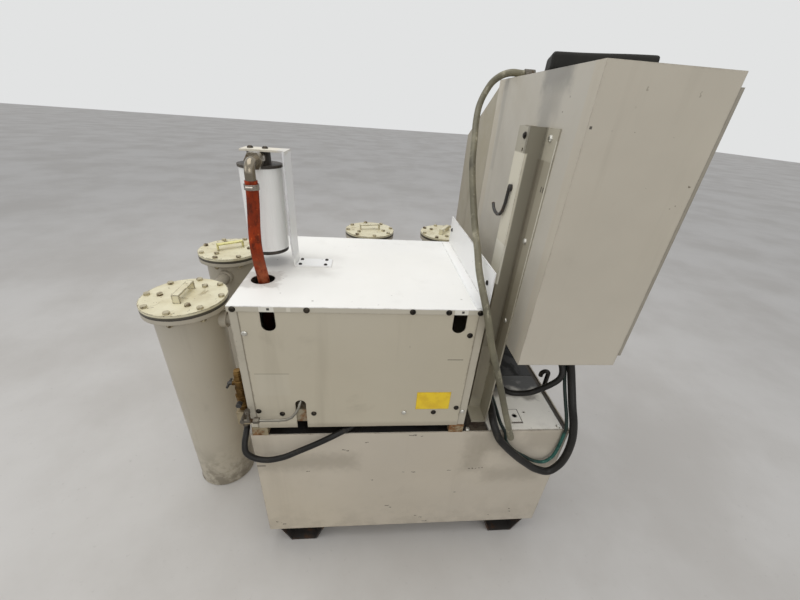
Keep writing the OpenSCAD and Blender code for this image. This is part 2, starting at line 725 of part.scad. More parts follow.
module fan_cover() unit() color("#4a6880") difference() {
    cover_r = motor_d / 2 - 2;
    rod_x([motor_end - 11, shaft_y, shaft_z], cover_r, fan_len + 11);
    rod_x([motor_end - 12, shaft_y, shaft_z], cover_r - 2, fan_len + 10);
    for (k = [0:5]) translate([motor_end + fan_len - 6, shaft_y, shaft_z]) rotate([60 * k, 0, 0])
        for (j = [0:4]) box([0, 26 + j * 12, -9 - j * 2], [12, 6, 18 + j * 4]);
}

module pressure_pipe() unit() color("#8d9093") {
    r = 8;
    difference() {
        union() {
            pipe_run([[port_x, head_y, inlet_z], [port_x, valve_y, inlet_z], [24, valve_y, inlet_z],
                [24, valve_y, feed_z], [cab_x - fit, valve_y, feed_z]], r);
            rod_y([port_x, head_y - 14, inlet_z], r + 5, 14);
        }
        pipe_run([[port_x, head_y + 1, inlet_z], [port_x, valve_y, inlet_z], [24, valve_y, inlet_z],
            [24, valve_y, feed_z], [cab_x - 2, valve_y, feed_z]], r - 2.5);
    }
}

module valve_block() unit() color("#c9c4b4") difference() {
    box([block_x, block_y, block_z], block);
    rod_x([block_x + 20, valve_y, feed_z], 5.5, block[0]);
    rod_x([block_x - 1, valve_y, block_z + 18], outlet_r, 23);
    rod_z([valve_x, valve_y, block_z + 10], 5, block[2]);
}

module relief_valve() unit() color("#8f6d35") difference() {
    union() {
        for (i = [0:len(stack) - 1]) translate([valve_x, valve_y, valve_z + stack_z(i)])
            cylinder(r = stack[i][1], h = stack[i][0], $fn = stack[i][2] == 0 ? 48 : stack[i][2]);
        rod_y([valve_x, valve_y - 22, knob_z], 8, 22);
        rod_x([valve_x - 19, valve_y, lever_z], 6, 19);
    }
    rod_y([valve_x, valve_y - 23, knob_z], 3 + turn_fit, 15);
    rod_x([valve_x - 20, valve_y, lever_z], 3 + turn_fit, 14);
}

module relief_knob() unit() color("#1f1f20") {
    rod_y([valve_x, valve_y - 35, knob_z], 8, 12.5);
    rod_y([valve_x, valve_y - 23, knob_z], 3, 13);
}

module valve_lever() unit() color("#1f1f20") {
    rod_x([valve_x - 32, valve_y, lever_z], 5.5, 12.5);
    rod_x([valve_x - 20, valve_y, lever_z], 3, 12);
    rod_y([valve_x - 28, valve_y - 18, lever_z], 3.5, 36);
}

// Elbow from its foot to the end of its stub, for a hose of radius r
module elbow(foot, corner, end, r) {
    u = (end - corner) / norm(end - corner);
    back = (r + 3) * (1 - abs(u * (corner - foot)) / norm(corner - foot));
    link(foot, corner, r + 2);
    link(corner - back * u, end, r + 3);
}

module hose_fittings() unit() color("#4b4a48") {
    // Under and in front of the valve block
    rod_z([-15, 22, deck_z + 26], 10, block_z - deck_z - 26);
    rod_z([-1, 32, deck_z + 2], 6, block_z - deck_z - 2);
    rod_y([-4, -26, bypass_z], 7, block_y + 26);
    rod_x([-4, -20, bypass_z], 6, 34);
    translate([26, -20, bypass_z]) rotate([0, 90, 0]) cylinder(r = 9, h = 16, $fn = 6);
    rod_z([14, -20, bypass_z], 5, 34);
    rod_z([14, -20, bypass_z + 30], 7, 12);
    // On the deck, for the red hose
    rod_z([hose_x, hose_y, deck_z], 15, red_foot - deck_z);
    // Elbows on the cabinet, the enclosure and the deck, and glands under the enclosure
    for (e = elbows) elbow(e[0], e[1], stub_end(e[1], e[2]), e[3]);
    for (g = glands) rod_z([g[0], g[1], enc_z - gland_len], g[2] + 4, gland_len);
    // Breather beside the tank's right wall
    rod_x([tank_w, breather_y, deck_z - 40], 10, 16);
    rod_z([tank_w + 9, breather_y, deck_z - 52], 8, 106);
    translate([tank_w - 5, breather_y, deck_z + 54]) rotate([90, 0, 0]) rotate_extrude(angle = 180)
        translate([14, 0]) circle(r = 8);
    rod_z([tank_w - 19, breather_y, deck_z + 46], 8, 8);
    // Drain coupling and pipe sockets on the tank
    difference() {
        rod_x([tank_w, drain_y, drain_z], drain_d / 2 + 7, 20);
        rod_x([tank_w - 1, drain_y, drain_z], drain_d / 2, 60);
    }
    difference() {
        rod_x([-socket_len, can_2[1], outlet_z], socket_r, socket_len);
        rod_x([-socket_len - 1, can_2[1], outlet_z], pipe_r + fit, socket_len + 2);
    }
    difference() {
        rod_y([can_4[0], tank_d, outlet_z], socket_r, socket_len);
        rod_y([can_4[0], tank_d - 1, outlet_z], pipe_r + fit, socket_len + 2);
    }
}

module bypass_pipe() unit() color("#9c9a94")
    swept([[42, -20, bypass_z], [70, -20, bypass_z], [98, -20, bypass_z], [118, -20, bypass_z + 2],
        [134, -19, bypass_z + 10], [146, -15, bypass_z + 24], [154, -7, bypass_z + 38],
        [arch_x, 6, bypass_z + 50], [arch_x, 24, bypass_z + 58], [arch_x, 60, bypass_z + 64],
        [arch_x, 140, bypass_z + 84], [arch_x, 190, inlet_z], [arch_x, head_y, inlet_z]], 4, [0, 0, 1], 8);

module drain_hose() unit() color("#3c3b3d")
    swept(concat(drain_route, [stub_end(drain_corner, last(drain_route))]), drain_r, [0, -1, 0.5], 10);

module separator_shell() unit() color("#c9ccca") difference() {
    rod_z([sep_x, sep_y, sep_z], sep_d / 2, sep_len);
    rod_z([sep_x, sep_y, sep_z - 1], sep_d / 2 - 2, sep_len + 2);
}

module separator_caps() unit() color("#26282a") difference() {
    union() {
        rod_z([sep_x, sep_y, sep_top], sep_head_d / 2, 7);
        rod_z([sep_x, sep_y, sep_top - 12], sep_d / 2 - 2 - fit, 12);
        rod_z([sep_x, sep_y, sep_top], neck_r, bracket_top - bracket_t - sep_top);
        rod_z([sep_x, sep_y, sep_z - 11], sep_d / 2 - 2, 11);
        rod_z([sep_x, sep_y, sep_z - 1], sep_d / 2 - 2 - fit, 13);
        rod_z([sep_x, sep_y, sep_z - 28], 10, 20);
    }
    rod_y([elbow_x, sep_y - neck_r - 1, port_z], elbow_r + fit, neck_r - 6);
    for (x = sep_bolts) rod_z([x, sep_y - 11, bracket_top - 12], screw_hole, 20);
}

module separator_bracket() unit() color("#e4e3de") difference() {
    plate_y = leg_y + 27;
    union() {
        translate([leg_x, 0, 0]) rotate([90, 0, 90]) linear_extrude(height = bracket_t)
            polygon([[foot_y, cab_top], [foot_y + foot_d, cab_top], [leg_y + leg_w, cab_top + 70],
                [leg_y + leg_w, bracket_top], [leg_y, bracket_top], [leg_y, cab_top + 90]]);
        box([leg_x, foot_y, cab_top], [foot_w, foot_d, bracket_t]);
        box([sep_x - 36, plate_y, bracket_top - bracket_t], [leg_x - sep_x + 37, leg_y + leg_w - plate_y, bracket_t]);
    }
    for (b = bracket_bolts) rod_z([b[0], b[1], cab_top - 1], screw_hole, 20);
    for (x = sep_bolts) rod_z([x, sep_y - 11, bracket_top - 12], screw_hole, 20);
}

// Quarter bend from the horizontal pipe down to the hose
module elbow_bend(r) {
    translate([elbow_x, elbow_y + elbow_bend, port_z - elbow_bend]) rotate([90, 0, -90])
        rotate_extrude(angle = 90) translate([elbow_bend, 0]) circle(r = r);
}

module elbow_pipe() unit() color("#77736b") difference() {
    far_y = sep_y - neck_r + 14;
    union() {
        rod_y([elbow_x, elbow_y + elbow_bend, port_z], elbow_r, far_y - elbow_y - elbow_bend);
        elbow_bend(elbow_r);
        rod_z([elbow_x, elbow_y, hose_top], elbow_r, port_z - elbow_bend - hose_top);
        translate([elbow_x, 190, port_z]) rotate([-90, 0, 0]) cylinder(r = 23, h = 26, $fn = 6);
        rod_y([elbow_x, 214, port_z], 15.5, sep_y - neck_r - 214);
    }
    rod_y([elbow_x, elbow_y + elbow_bend, port_z], elbow_bore / 2, far_y);
    elbow_bend(elbow_bore / 2);
    rod_z([elbow_x, elbow_y, hose_top - 24], elbow_bore / 2, port_z - elbow_bend - hose_top + 24);
}

module hose_clamps() unit() color("#b8babb") {
    difference() {
        rod_z([elbow_x, elbow_y, hose_top - 21], red_r + 2.6, 13);
        rod_z([elbow_x, elbow_y, hose_top - 22], red_r + 0.9, 15);
    }
    rod_x([elbow_x - 8, elbow_y - red_r - 5, hose_top - 14.5], 4, 17);
}

module red_hose() unit() color("#a83c22")
    swept([for (p = red_route) [p[0], p[1], red_foot + p[2] * red_rise]], red_r, [0, -1, 0], 12);

// Canister with a list of pipe sockets, each [direction in degrees, height]
module canister(place, sockets) {
    floor_t = 8;
    inner_r = can_d / 2 - can_t;
    color("#a9a698") translate([place[0], place[1], 0]) difference() {
        union() {
            cylinder(r = can_d / 2, h = flange_z + 1);
            translate([0, 0, flange_z]) cylinder(r = lid_d / 2, h = flange_t);
            for (s = sockets) translate([0, 0, s[1]]) rotate([0, 90, s[0]])
                cylinder(r = socket_r, h = can_d / 2 + socket_len);
        }
        translate([0, 0, floor_t]) cylinder(r = inner_r, h = lid_top);
        translate([0, 0, flange_z + flange_t - 5]) cylinder(r = inner_r + 7, h = 10);
        for (s = sockets) translate([0, 0, s[1]]) rotate([0, 90, s[0]]) cylinder(r = pipe_r + fit, h = lid_d);
        for (k = [0:rim_count - 1]) rotate(lid_angle(place) + k * 360 / rim_count)
            translate([rim_pcd / 2, 0, flange_z - 1]) cylinder(r = lid_bolt_r + 0.5, h = flange_t + 2);
    }
}

// Turn of the lid that closes the canister at a place
function lid_angle(place) = lid_turn[search([place], cans)[0]];

module canister_1() unit() canister(can_1, [[0, inlet_z], [90, inlet_z], [90, outlet_z]]);

module canister_2() unit() canister(can_2, [[-90, inlet_z], [-90, outlet_z], [0, outlet_z]]);

module canister_3() unit() canister(can_3, [[-90, inlet_z], [0, inlet_z], [0, outlet_z]]);

module canister_4() unit() canister(can_4, [[180, inlet_z], [180, outlet_z], [-90, outlet_z]]);

module canister_lids() unit() color("#ddd8bd") for (c = cans) translate([c[0], c[1], lid_top]) rotate(lid_angle(c)) {
    difference() {
        translate([0, 0, -lid_t]) cylinder(r = lid_d / 2, h = lid_t);
        for (k = [0:rim_count - 1]) rotate(k * 360 / rim_count)
            translate([rim_pcd / 2, 0, -lid_t - 1]) cylinder(r = lid_bolt_r + 0.5, h = lid_t + 2);
        for (k = [0:inner_count - 1]) rotate(k * 360 / inner_count + 90)
            translate([inner_pcd / 2, 0, -lid_t - 1]) cylinder(r = lid_bolt_r + 0.5, h = lid_t + 2);
    }
    for (x = [-handle_len / 2, handle_len / 2 - bar_t])
        box([x, -handle_w / 2, -0.5], [bar_t, handle_w, handle_h + 0.5]);
    box([-handle_len / 2, -handle_w / 2, handle_h - bar_t], [handle_len, handle_w, bar_t]);
}

module lid_gaskets() unit() color("#1d1d1d") for (c = cans) translate([c[0], c[1], lid_top - lid_t - gasket_t])
    rotate(lid_angle(c)) difference() {
        cylinder(r = lid_d / 2, h = gasket_t);
        translate([0, 0, -1]) cylinder(r = can_d / 2 - can_t, h = gasket_t + 2);
        for (k = [0:rim_count - 1]) rotate(k * 360 / rim_count)
            translate([rim_pcd / 2, 0, -1]) cylinder(r = lid_bolt_r + 0.5, h = gasket_t + 2);
    }

// Hexagon bolt with its shank down to a depth below the lid's top, and a nut if asked for
module hex_bolt(depth, nut) {
    cylinder(r = lid_bolt_r * 1.75, h = lid_bolt_r * 1.3, $fn = 6);
    translate([0, 0, -depth]) cylinder(r = lid_bolt_r, h = depth + 1);
    if (nut) translate([0, 0, -depth + 4]) cylinder(r = lid_bolt_r * 1.75, h = 10, $fn = 6);
}

module lid_bolts() unit() color("#7a766c") for (c = cans) translate([c[0], c[1], lid_top]) rotate(lid_angle(c)) {
    joint_t = lid_t + gasket_t + flange_t;
    for (k = [0:rim_count - 1]) rotate(k * 360 / rim_count) translate([rim_pcd / 2, 0, 0])
        hex_bolt(joint_t + 14, true);
    for (k = [0:inner_count - 1]) rotate(k * 360 / inner_count + 90) translate([inner_pcd / 2, 0, 0])
        hex_bolt(lid_t - 1, false);
}

module filter_baskets() unit() color("#b4b6b5") for (c = cans) translate([c[0], c[1], 0]) difference() {
    union() {
        translate([0, 0, basket_z]) cylinder(r = basket_r, h = ring_z - basket_z + 1);
        translate([0, 0, ring_z]) cylinder(r = can_d / 2 - can_t + 7 - fit, h = 5 - fit);
    }
    translate([0, 0, basket_z + 2]) cylinder(r = basket_r - 2, h = lid_top);
    for (row = [0:5], k = [0:3]) translate([0, 0, basket_z + 60 + row * 105]) rotate([0, 90, 90 * k + 45 * (row % 2)])
        cylinder(r = 16, h = 2 * basket_r);
}

module filter_bags() unit() color("#e3e0d2") for (c = cans) translate([c[0], c[1], basket_z + 2 + fit]) difference() {
    cylinder(r = basket_r - 2 - fit, h = ring_z - basket_z - 6);
    translate([0, 0, 3]) cylinder(r = basket_r - 5, h = ring_z);
}

// Straight pipe between two points with a union nut in the middle
module filter_pipe(a, b) {
    pipe_bore = pipe_r - pipe_t;
    d = (b - a) / norm(b - a);
    difference() {
        union() {
            link(a, b, pipe_r);
            link((a + b) / 2 - 20 * d, (a + b) / 2 + 20 * d, pipe_r + 9);
        }
        link(a - d, b + d, pipe_bore);
    }
}

module filter_pipes() unit() color("#8c8270") {
    in_wall = can_d / 2 - can_t / 2;
    can_side = [in_wall, 0, 0];
    can_rear = [0, in_wall, 0];
    filter_pipe([can_1[0], can_1[1], inlet_z] + can_side, [port_face_x, can_1[1], inlet_z]);
    for (z = [inlet_z, outlet_z]) {
        filter_pipe([can_1[0], can_1[1], z] + can_rear, [can_2[0], can_2[1], z] - can_rear);
        filter_pipe([can_3[0], can_3[1], z] + can_side, [can_4[0], can_4[1], z] - can_side);
    }
    filter_pipe([can_2[0], can_2[1], outlet_z] + can_side, [2, can_2[1], outlet_z]);
    filter_pipe([can_4[0], can_4[1], outlet_z] - can_rear, [can_4[0], tank_d - 2, outlet_z]);
    rear_run = [[can_3[0], can_3[1] - in_wall, inlet_z], [can_3[0], feed_y, inlet_z],
        [rear_feed_x, feed_y, inlet_z], [rear_feed_x, rear_feed_y, inlet_z]];
    difference() {
        union() {
            pipe_run(rear_run, pipe_r);
            rod_y([can_3[0], (can_3[1] + cab_d) / 2, inlet_z], pipe_r + 9, 40);
        }
        pipe_run(rear_run, pipe_r - pipe_t);
        rod_y([can_3[0], can_3[1] - in_wall - 2, inlet_z], pipe_r - pipe_t, 4);
        rod_y([rear_feed_x, rear_feed_y - 2, inlet_z], pipe_r - pipe_t, 4);
    }
}

module enclosure_shell() unit() color("#a8a597") {
    difference() {
        box([enc_x, enc_y, enc_z], [enc_w, enc_d, enc_h]);
        box([enc_x + enc_t, enc_y + enc_t, enc_z + enc_t], [enc_w - 2 * enc_t, enc_d - 2 * enc_t, enc_h - 2 * enc_t]);
        box([enc_right - enc_t - 1, enc_y + return_w, door_z + 14],
            [enc_t + 2, door_back - 14 - enc_y - return_w, door_h - 28]);
        for (g = glands) rod_z([g[0], g[1], enc_z - 1], g[2], enc_t + 2);
        for (b = post_bolts) rod_x([enc_x - 1, b[0], b[1]], screw_hole, enc_t + 2);
        rod_z([conduit_corner[0], conduit_corner[1], enc_top - enc_t - 1], conduit_r, enc_t + 2);
    }
    for (p = plate_places) rod_x([enc_x + enc_t - 0.5, p[0], p[1]], 6, plate_gap + 0.5);
    for (z = hinge_z) {
        box([enc_right - 1, hinge_y, z - knuckle_len], [hinge_x - enc_right + 1, hinge_r, knuckle_len]);
        rod_z([hinge_x, hinge_y, z - knuckle_len], hinge_r, knuckle_len);
        rod_z([hinge_x, hinge_y, z - 1], pin_r, knuckle_len + 1);
    }
}

module enclosure_door() unit() color("#a8a597") difference() {
    skin = 1.5;
    union() {
        difference() {
            box([door_x, enc_y, door_z], [door_t, door_back - enc_y, door_h]);
            box([door_x - 1, enc_y + skin, door_z + skin],
                [door_t - skin + 1, door_back - enc_y - 2 * skin, door_h - 2 * skin]);
        }
        for (z = hinge_z) {
            rod_z([hinge_x, hinge_y, z + fit], hinge_r, knuckle_len - fit);
            box([hinge_x - 3, door_back - 1, z + fit], [door_end - hinge_x + 3, hinge_y - door_back + 1,
                knuckle_len - fit]);
        }
        rod_x([door_end - 1, latch_y, latch_z], latch_shaft_r + 9, 5);
        rod_x([door_x, latch_y, latch_z], latch_shaft_r + 5, door_t);
    }
    for (z = hinge_z) rod_z([hinge_x, hinge_y, z - 1], pin_r + turn_fit, knuckle_len + 2);
    rod_x([door_x - 1, latch_y, latch_z], latch_shaft_r + turn_fit, door_t + 10);
}

module door_latch() unit() color("#2a2b2d") {
    cam_x = enc_right - enc_t - 9;
    handle_x = door_end + 6;
    rod_x([cam_x, latch_y, latch_z], latch_shaft_r, handle_x + 2 - cam_x);
    box([cam_x, latch_y - 9, latch_z - latch_throw], [5, 18, latch_throw]);
    box([handle_x, latch_y - 9, latch_z - 44], [enc_right + latch_reach - handle_x, 18, 88]);
}

module back_plate() unit() color("#cfcfc6") {
    box([plate_x, enc_y + plate_margin, enc_z + plate_margin],
        [plate_t, enc_d - 2 * plate_margin, enc_h - 2 * plate_margin]);
    for (z = rail_rows) box([plate_x + plate_t - 0.5, enc_y + plate_margin + 30, z - 17],
        [8, enc_d - 2 * plate_margin - 60, 35]);
}

module switchgear() unit() color("#d9d9d4") {
    upper = rail_rows[1] - 45;
    lower = rail_rows[0] - 42;
    // Main switch, breakers and relays on the upper rail
    difference() {
        box([device_x, switch_y - 38, upper], [switch_d, 76, 90]);
        rod_x([device_x + 40, switch_y, rail_rows[1]], 4 + turn_fit, 40);
    }
    for (k = [0:5]) box([device_x, enc_y + 175 + k * 20, upper + 5], [66, 18, 80]);
    for (k = [0:5]) box([device_x, enc_y + 320 + k * 17, upper + 12], [58, 15, 66]);
    // Contactors and terminals on the lower rail
    for (k = [0:2]) box([device_x, enc_y + 80 + k * 62, lower], [82, 54, 84]);
    box([device_x, enc_y + 290, lower + 18], [44, 170, 48]);
    // Control transformer on the plate
    box([plate_x + plate_t, enc_y + 90, enc_z + 60], [86, 120, 100]);
    box([plate_x + plate_t, enc_y + 110, enc_z + 50], [70, 80, 120]);
}

module switch_knob() unit() color("#a32020") {
    rod_x([device_x + 48, switch_y, rail_rows[1]], 4, switch_d - 46);
    rod_x([device_x + switch_d + fit, switch_y, rail_rows[1]], 20, 7);
    box([device_x + switch_d + fit, switch_y - 5, rail_rows[1] - 19], [20, 10, 38]);
}

module pedestal() unit() color("#a3a092") {
    ped_y = enc_back + fit;
    top_front = enc_top - 20;
    top_back = enc_top - 175;
    translate([enc_x, 0, 0]) rotate([90, 0, 90]) difference() {
        linear_extrude(height = enc_w) polygon([[ped_y, deck_z], [ped_y + ped_d, deck_z],
            [ped_y + ped_d, top_back], [ped_y, top_front]]);
        translate([0, 0, enc_t]) linear_extrude(height = enc_w - 2 * enc_t)
            polygon([[ped_y + enc_t, deck_z - 1], [ped_y + ped_d - enc_t, deck_z - 1],
                [ped_y + ped_d - enc_t, top_back - 1.3 * enc_t], [ped_y + enc_t, top_front - 1.3 * enc_t]]);
    }
}

module post() unit() color("#9f9c8e") difference() {
    side_x = enc_x - post_w;
    height = post_top - deck_z;
    union() {
        box([enc_x - plate_t, post_y - flange_w, deck_z], [plate_t, flange_w + 1, height]);
        box([side_x, post_y, deck_z], [post_w, plate_t, height]);
        box([side_x, post_y, deck_z], [plate_t, post_face, height]);
        box([side_x, post_y + post_face - plate_t, deck_z], [post_w, plate_t, height]);
        box([enc_x - plate_t, post_y + post_face - 1, deck_z], [plate_t, flange_w + 1, height]);
        box([side_x - 8, post_y - flange_w, deck_z], [post_w + 8, post_face + 2 * flange_w, 6]);
    }
    for (b = post_bolts) rod_x([enc_x - 10, b[0], b[1]], screw_hole, 20);
    for (z = [post_top - 20, post_top - 51]) rod_x([side_x - 1, post_y + 20, z], screw_hole, 6);
}

module cable_hook() unit() color("#161616") {
    hook_x = enc_x - post_w - 6;
    hook_y = post_y + 36;
    hook_z = enc_top - 258;
    swept([[hook_x, hook_y, hook_z], [hook_x, hook_y + 2, hook_z - 20], [hook_x, hook_y + 5, hook_z - 42],
        [hook_x, hook_y + 13, hook_z - 62], [hook_x, hook_y + 27, hook_z - 75],
        [hook_x, hook_y + 45, hook_z - 80], [hook_x, hook_y + 65, hook_z - 78],
        [hook_x, hook_y + 81, hook_z - 72], [hook_x, hook_y + 93, hook_z - 60]], 4.5, [1, 0, 0], 8);
    rod_x([hook_x - 1, hook_y, hook_z], 9, 7);
}

module top_pad() unit() color("#222222")
    translate([enc_x + 1, 170, enc_top]) rotate(-18) cube([220, 120, 38]);

module conduit_hose() unit() color("#5e5f52")
    swept(concat([stub_end(conduit_corner, conduit_route[0])], conduit_route), conduit_r, [-0.5, -1, 0.5], 10);

module loop_hose() unit() color("#2c2a29")
    swept(concat(loop_route, [stub_end(loop_corner, last(loop_route))]), loop_r, [0, -1, 1], 10);

module earth_cable() unit() color("#2f6f66")
    swept(concat(earth_route, [stub_end(earth_corner, last(earth_route))]), earth_r, [0, -1, 1], 8);

module link_hose() unit() color("#272524")
    swept(concat(link_route, [stub_end(link_corner, last(link_route))]), link_r, [-1, -1, 1], 8);

tank();
tank_inserts();
skids();
deck_plate();
service_cover();
suction_pipe();
cabinet_frame();
pump_rails();
cabinet_casing();
front_panel();
cabinet_cover();
drip_shield();
dome_screws();
pump_body();
pump_shaft();
coupling_hubs();
coupling_spider();
bell_housing();
motor_body();
motor_shaft();
motor_fan();
fan_cover();
pressure_pipe();
valve_block();
relief_valve();
relief_knob();
valve_lever();
hose_fittings();
bypass_pipe();
drain_hose();
separator_shell();
separator_caps();
separator_bracket();
elbow_pipe();
hose_clamps();
red_hose();
canister_1();
canister_2();
canister_3();
canister_4();
canister_lids();
lid_gaskets();
lid_bolts();
filter_baskets();
filter_bags();
filter_pipes();
enclosure_shell();
enclosure_door();
door_latch();
back_plate();
switchgear();
switch_knob();
pedestal();
post();
cable_hook();
top_pad();
conduit_hose();
loop_hose();
earth_cable();
link_hose();
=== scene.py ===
import math

import bmesh
import bpy
from mathutils import Matrix, Vector, noise


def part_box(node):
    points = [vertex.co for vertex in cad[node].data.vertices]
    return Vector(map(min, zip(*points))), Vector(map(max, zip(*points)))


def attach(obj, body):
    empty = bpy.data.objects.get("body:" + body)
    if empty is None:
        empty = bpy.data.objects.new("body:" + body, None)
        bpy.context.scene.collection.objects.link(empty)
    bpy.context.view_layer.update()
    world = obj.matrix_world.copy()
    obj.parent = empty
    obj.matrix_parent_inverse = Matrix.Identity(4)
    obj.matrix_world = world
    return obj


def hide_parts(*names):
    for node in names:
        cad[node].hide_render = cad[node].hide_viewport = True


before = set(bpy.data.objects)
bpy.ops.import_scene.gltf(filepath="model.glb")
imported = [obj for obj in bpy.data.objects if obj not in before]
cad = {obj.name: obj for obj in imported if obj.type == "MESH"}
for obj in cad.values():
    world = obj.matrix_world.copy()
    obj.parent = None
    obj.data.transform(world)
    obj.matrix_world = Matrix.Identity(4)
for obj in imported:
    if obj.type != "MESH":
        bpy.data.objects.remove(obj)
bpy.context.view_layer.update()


# Where the frame's origin is in the layout of the part's source, in mm
ORIGIN_X = 316
ORIGIN_Y = 626.5


def at(x, y, z):
    """A layout place in millimetres, as in the part's source, as a place in the frame in metres."""
    return Vector(((x - ORIGIN_X) / 1000, (y - ORIGIN_Y) / 1000, z / 1000))


def rgb(r, g, b):
    """A colour written as it looks, 0 to 255, for a shader's socket."""
    return tuple(((c / 255 + 0.055) / 1.055) ** 2.4 if c > 10 else c / 3294.6 for c in (r, g, b)) + (1,)


# Camera, solved from the photograph's edges; its eye stands 1.5 m above the floor
view = bpy.data.cameras.new("view")
view.lens = 15.56
view.sensor_width = 36
view.sensor_fit = "HORIZONTAL"
view.clip_start = 0.02
camera = bpy.data.objects.new("camera", view)
bpy.context.scene.collection.objects.link(camera)
camera.matrix_world = Matrix((
    (0.9952, -0.0200, -0.0963, 0.027),
    (-0.0745, 0.4864, -0.8706, -1.3765),
    (0.0642, 0.8735, 0.4826, 1.5),
    (0, 0, 0, 1)))
bpy.context.scene.camera = camera


# Pieces
def add(name, mesh, body="unit", smooth=True):
    """A mesh as a piece that rides on a body."""
    if smooth:
        mesh.shade_smooth()
    piece = bpy.data.objects.new(name, mesh)
    bpy.context.scene.collection.objects.link(piece)
    if body:
        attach(piece, body)
    return piece


def mesh_of(name, verts, faces):
    """A mesh from places and the faces between them."""
    mesh = bpy.data.meshes.new(name)
    mesh.from_pydata([tuple(v) for v in verts], [], faces)
    mesh.update()
    return mesh


def circle(sides):
    """The angles of a ring's places."""
    return [2 * math.pi * k / sides for k in range(sides)]


def skin(name, rings):
    """A closed mesh over rings with as many places each, capped at both ends."""
    sides = len(rings[0])
    last = (len(rings) - 1) * sides
    faces = [list(range(sides))[::-1], [last + k for k in range(sides)]]
    for i in range(len(rings) - 1):
        for k in range(sides):
            n = (k + 1) % sides
            faces.append([i * sides + k, i * sides + n, (i + 1) * sides + n, (i + 1) * sides + k])
    return mesh_of(name, [place for ring in rings for place in ring], faces)


def lathe(name, rows, centre, axis=(0, 0, 1), sides=48):
    """A closed turned form from (radius, height) rows, along an axis through centre."""
    turn = Vector((0, 0, 1)).rotation_difference(Vector(axis)).to_matrix()
    rings = [[centre + turn @ Vector((r * math.cos(a), r * math.sin(a), h)) for a in circle(sides)]
             for r, h in rows]
    return skin(name, rings)


def slab(name, low, high, cuts):
    """A plate with rounded edges between two corners, cut into a grid so that it can be bent."""
    bm = bmesh.new()
    bmesh.ops.create_cube(bm, size=1)
    size = high - low
    for v in bm.verts:
        v.co = Vector([low[i] + (v.co[i] + 0.5) * size[i] for i in range(3)])
    bmesh.ops.bevel(bm, geom=bm.edges[:], offset=min(size) * 0.22, segments=3, profile=0.6, affect="EDGES")
    longest = [e for e in bm.edges if e.calc_length() > max(size) * 0.3]
    bmesh.ops.subdivide_edges(bm, edges=longest, cuts=cuts, use_grid_fill=True)
    mesh = bpy.data.meshes.new(name)
    bm.to_mesh(mesh)
    bm.free()
    return add(name, mesh, "unit")


def smooth_line(points, steps=8):
    """Places close together on a smooth line through layout points."""
    knots = [at(*point) for point in points]
    runs = [b - a for a, b in zip(knots[:-1], knots[1:])]
    ways = [runs[0].normalized()]
    for before, after in zip(runs[:-1], runs[1:]):
        ways.append((before.normalized() * after.length + after.normalized() * before.length).normalized())
    ways.append(runs[-1].normalized())
    line = [knots[0]]
    for i, run in enumerate(runs):
        for k in range(1, steps + 1):
            t = k / steps
            between = (2 * t ** 3 - 3 * t ** 2 + 1) * knots[i] + (3 * t ** 2 - 2 * t ** 3) * knots[i + 1]
            bow = (t ** 3 - 2 * t ** 2 + t) * ways[i] + (t ** 3 - t ** 2) * ways[i + 1]
            line.append(between + run.length * bow)
    return line


def tube(name, line, radius, sides=20):
    """A round tube in metres along a line, with flat ends."""
    rings = []
    across = None
    for i, place in enumerate(line):
        way = (line[min(i + 1, len(line) - 1)] - line[max(i - 1, 0)]).normalized()
        across = way.orthogonal() if across is None else across - across.dot(way) * way
        across.normalize()
        other = way.cross(across)
        rings.append([place + radius * (math.cos(a) * across + math.sin(a) * other)
                      for a in circle(sides)])
    return add(name, skin(name, rings), "unit")


def stub(corner, towards, length=17):
    """The end of a fitting's stub, from its corner towards the hose's next point."""
    way = Vector(towards) - Vector(corner)
    return tuple(Vector(corner) + length * way.normalized())


# Routes of the hoses and the cable in layout mm, as in the part's source
red_route = [(56, 154, 1324), (56, 154, 1300), (54, 150, 1255), (51, 144, 1205), (50, 141, 1155),
             (53, 142, 1105), (56, 147, 1060), (56, 149, 1010), (54, 149, 950), (54, 149, 890),
             (54, 149, 830), (54, 149, 770), (54, 149, 710), (54, 149, 660)]
drain_route = [(-15, 22, 628), (-15, 22, 616), (-16, 8, 600), (-17, -10, 582), (-12, -25, 556),
               (8, -29, 538), (43, -30, 527), (90, -30, 535), (149, -28, 564), (205, -23, 591),
               (250, -14, 610), (300, 14, 616)]
drain_route.append(stub((335, 40, 616), drain_route[-1]))
conduit_route = [(780, 426, 1613), (748, 427, 1613), (727, 438, 1606), (705, 447, 1588), (689, 447, 1562),
                 (672, 430, 1529), (659, 396, 1486), (650, 350, 1434), (641, 305, 1384), (637, 222, 1289),
                 (638, 160, 1221), (638, 110, 1180), (638, 70, 1141), (641, 25, 1105), (646, -16, 1069),
                 (679, -24, 960), (716, -38, 856), (761, -42, 730), (803, -38, 620)]
conduit_route.insert(0, stub((806, 426, 1613), conduit_route[0]))
loop_route = [(985, 92, 913), (985, 92, 898), (1009, 70, 786), (1013, 45, 738), (1013, 15, 694),
              (1021, -8, 643), (1030, -20, 578), (1030, -24, 542), (1026, -27, 503), (1014, -28, 461),
              (986, -28, 430), (941, -28, 441), (889, -28, 479), (845, -27, 518), (806, -25, 558),
              (776, -22, 595), (759, 4, 634), (765, 55, 644), (764, 170, 660), (762, 235, 668),
              (740, 275, 680)]
loop_route.append(stub((676, 300, 690), loop_route[-1]))
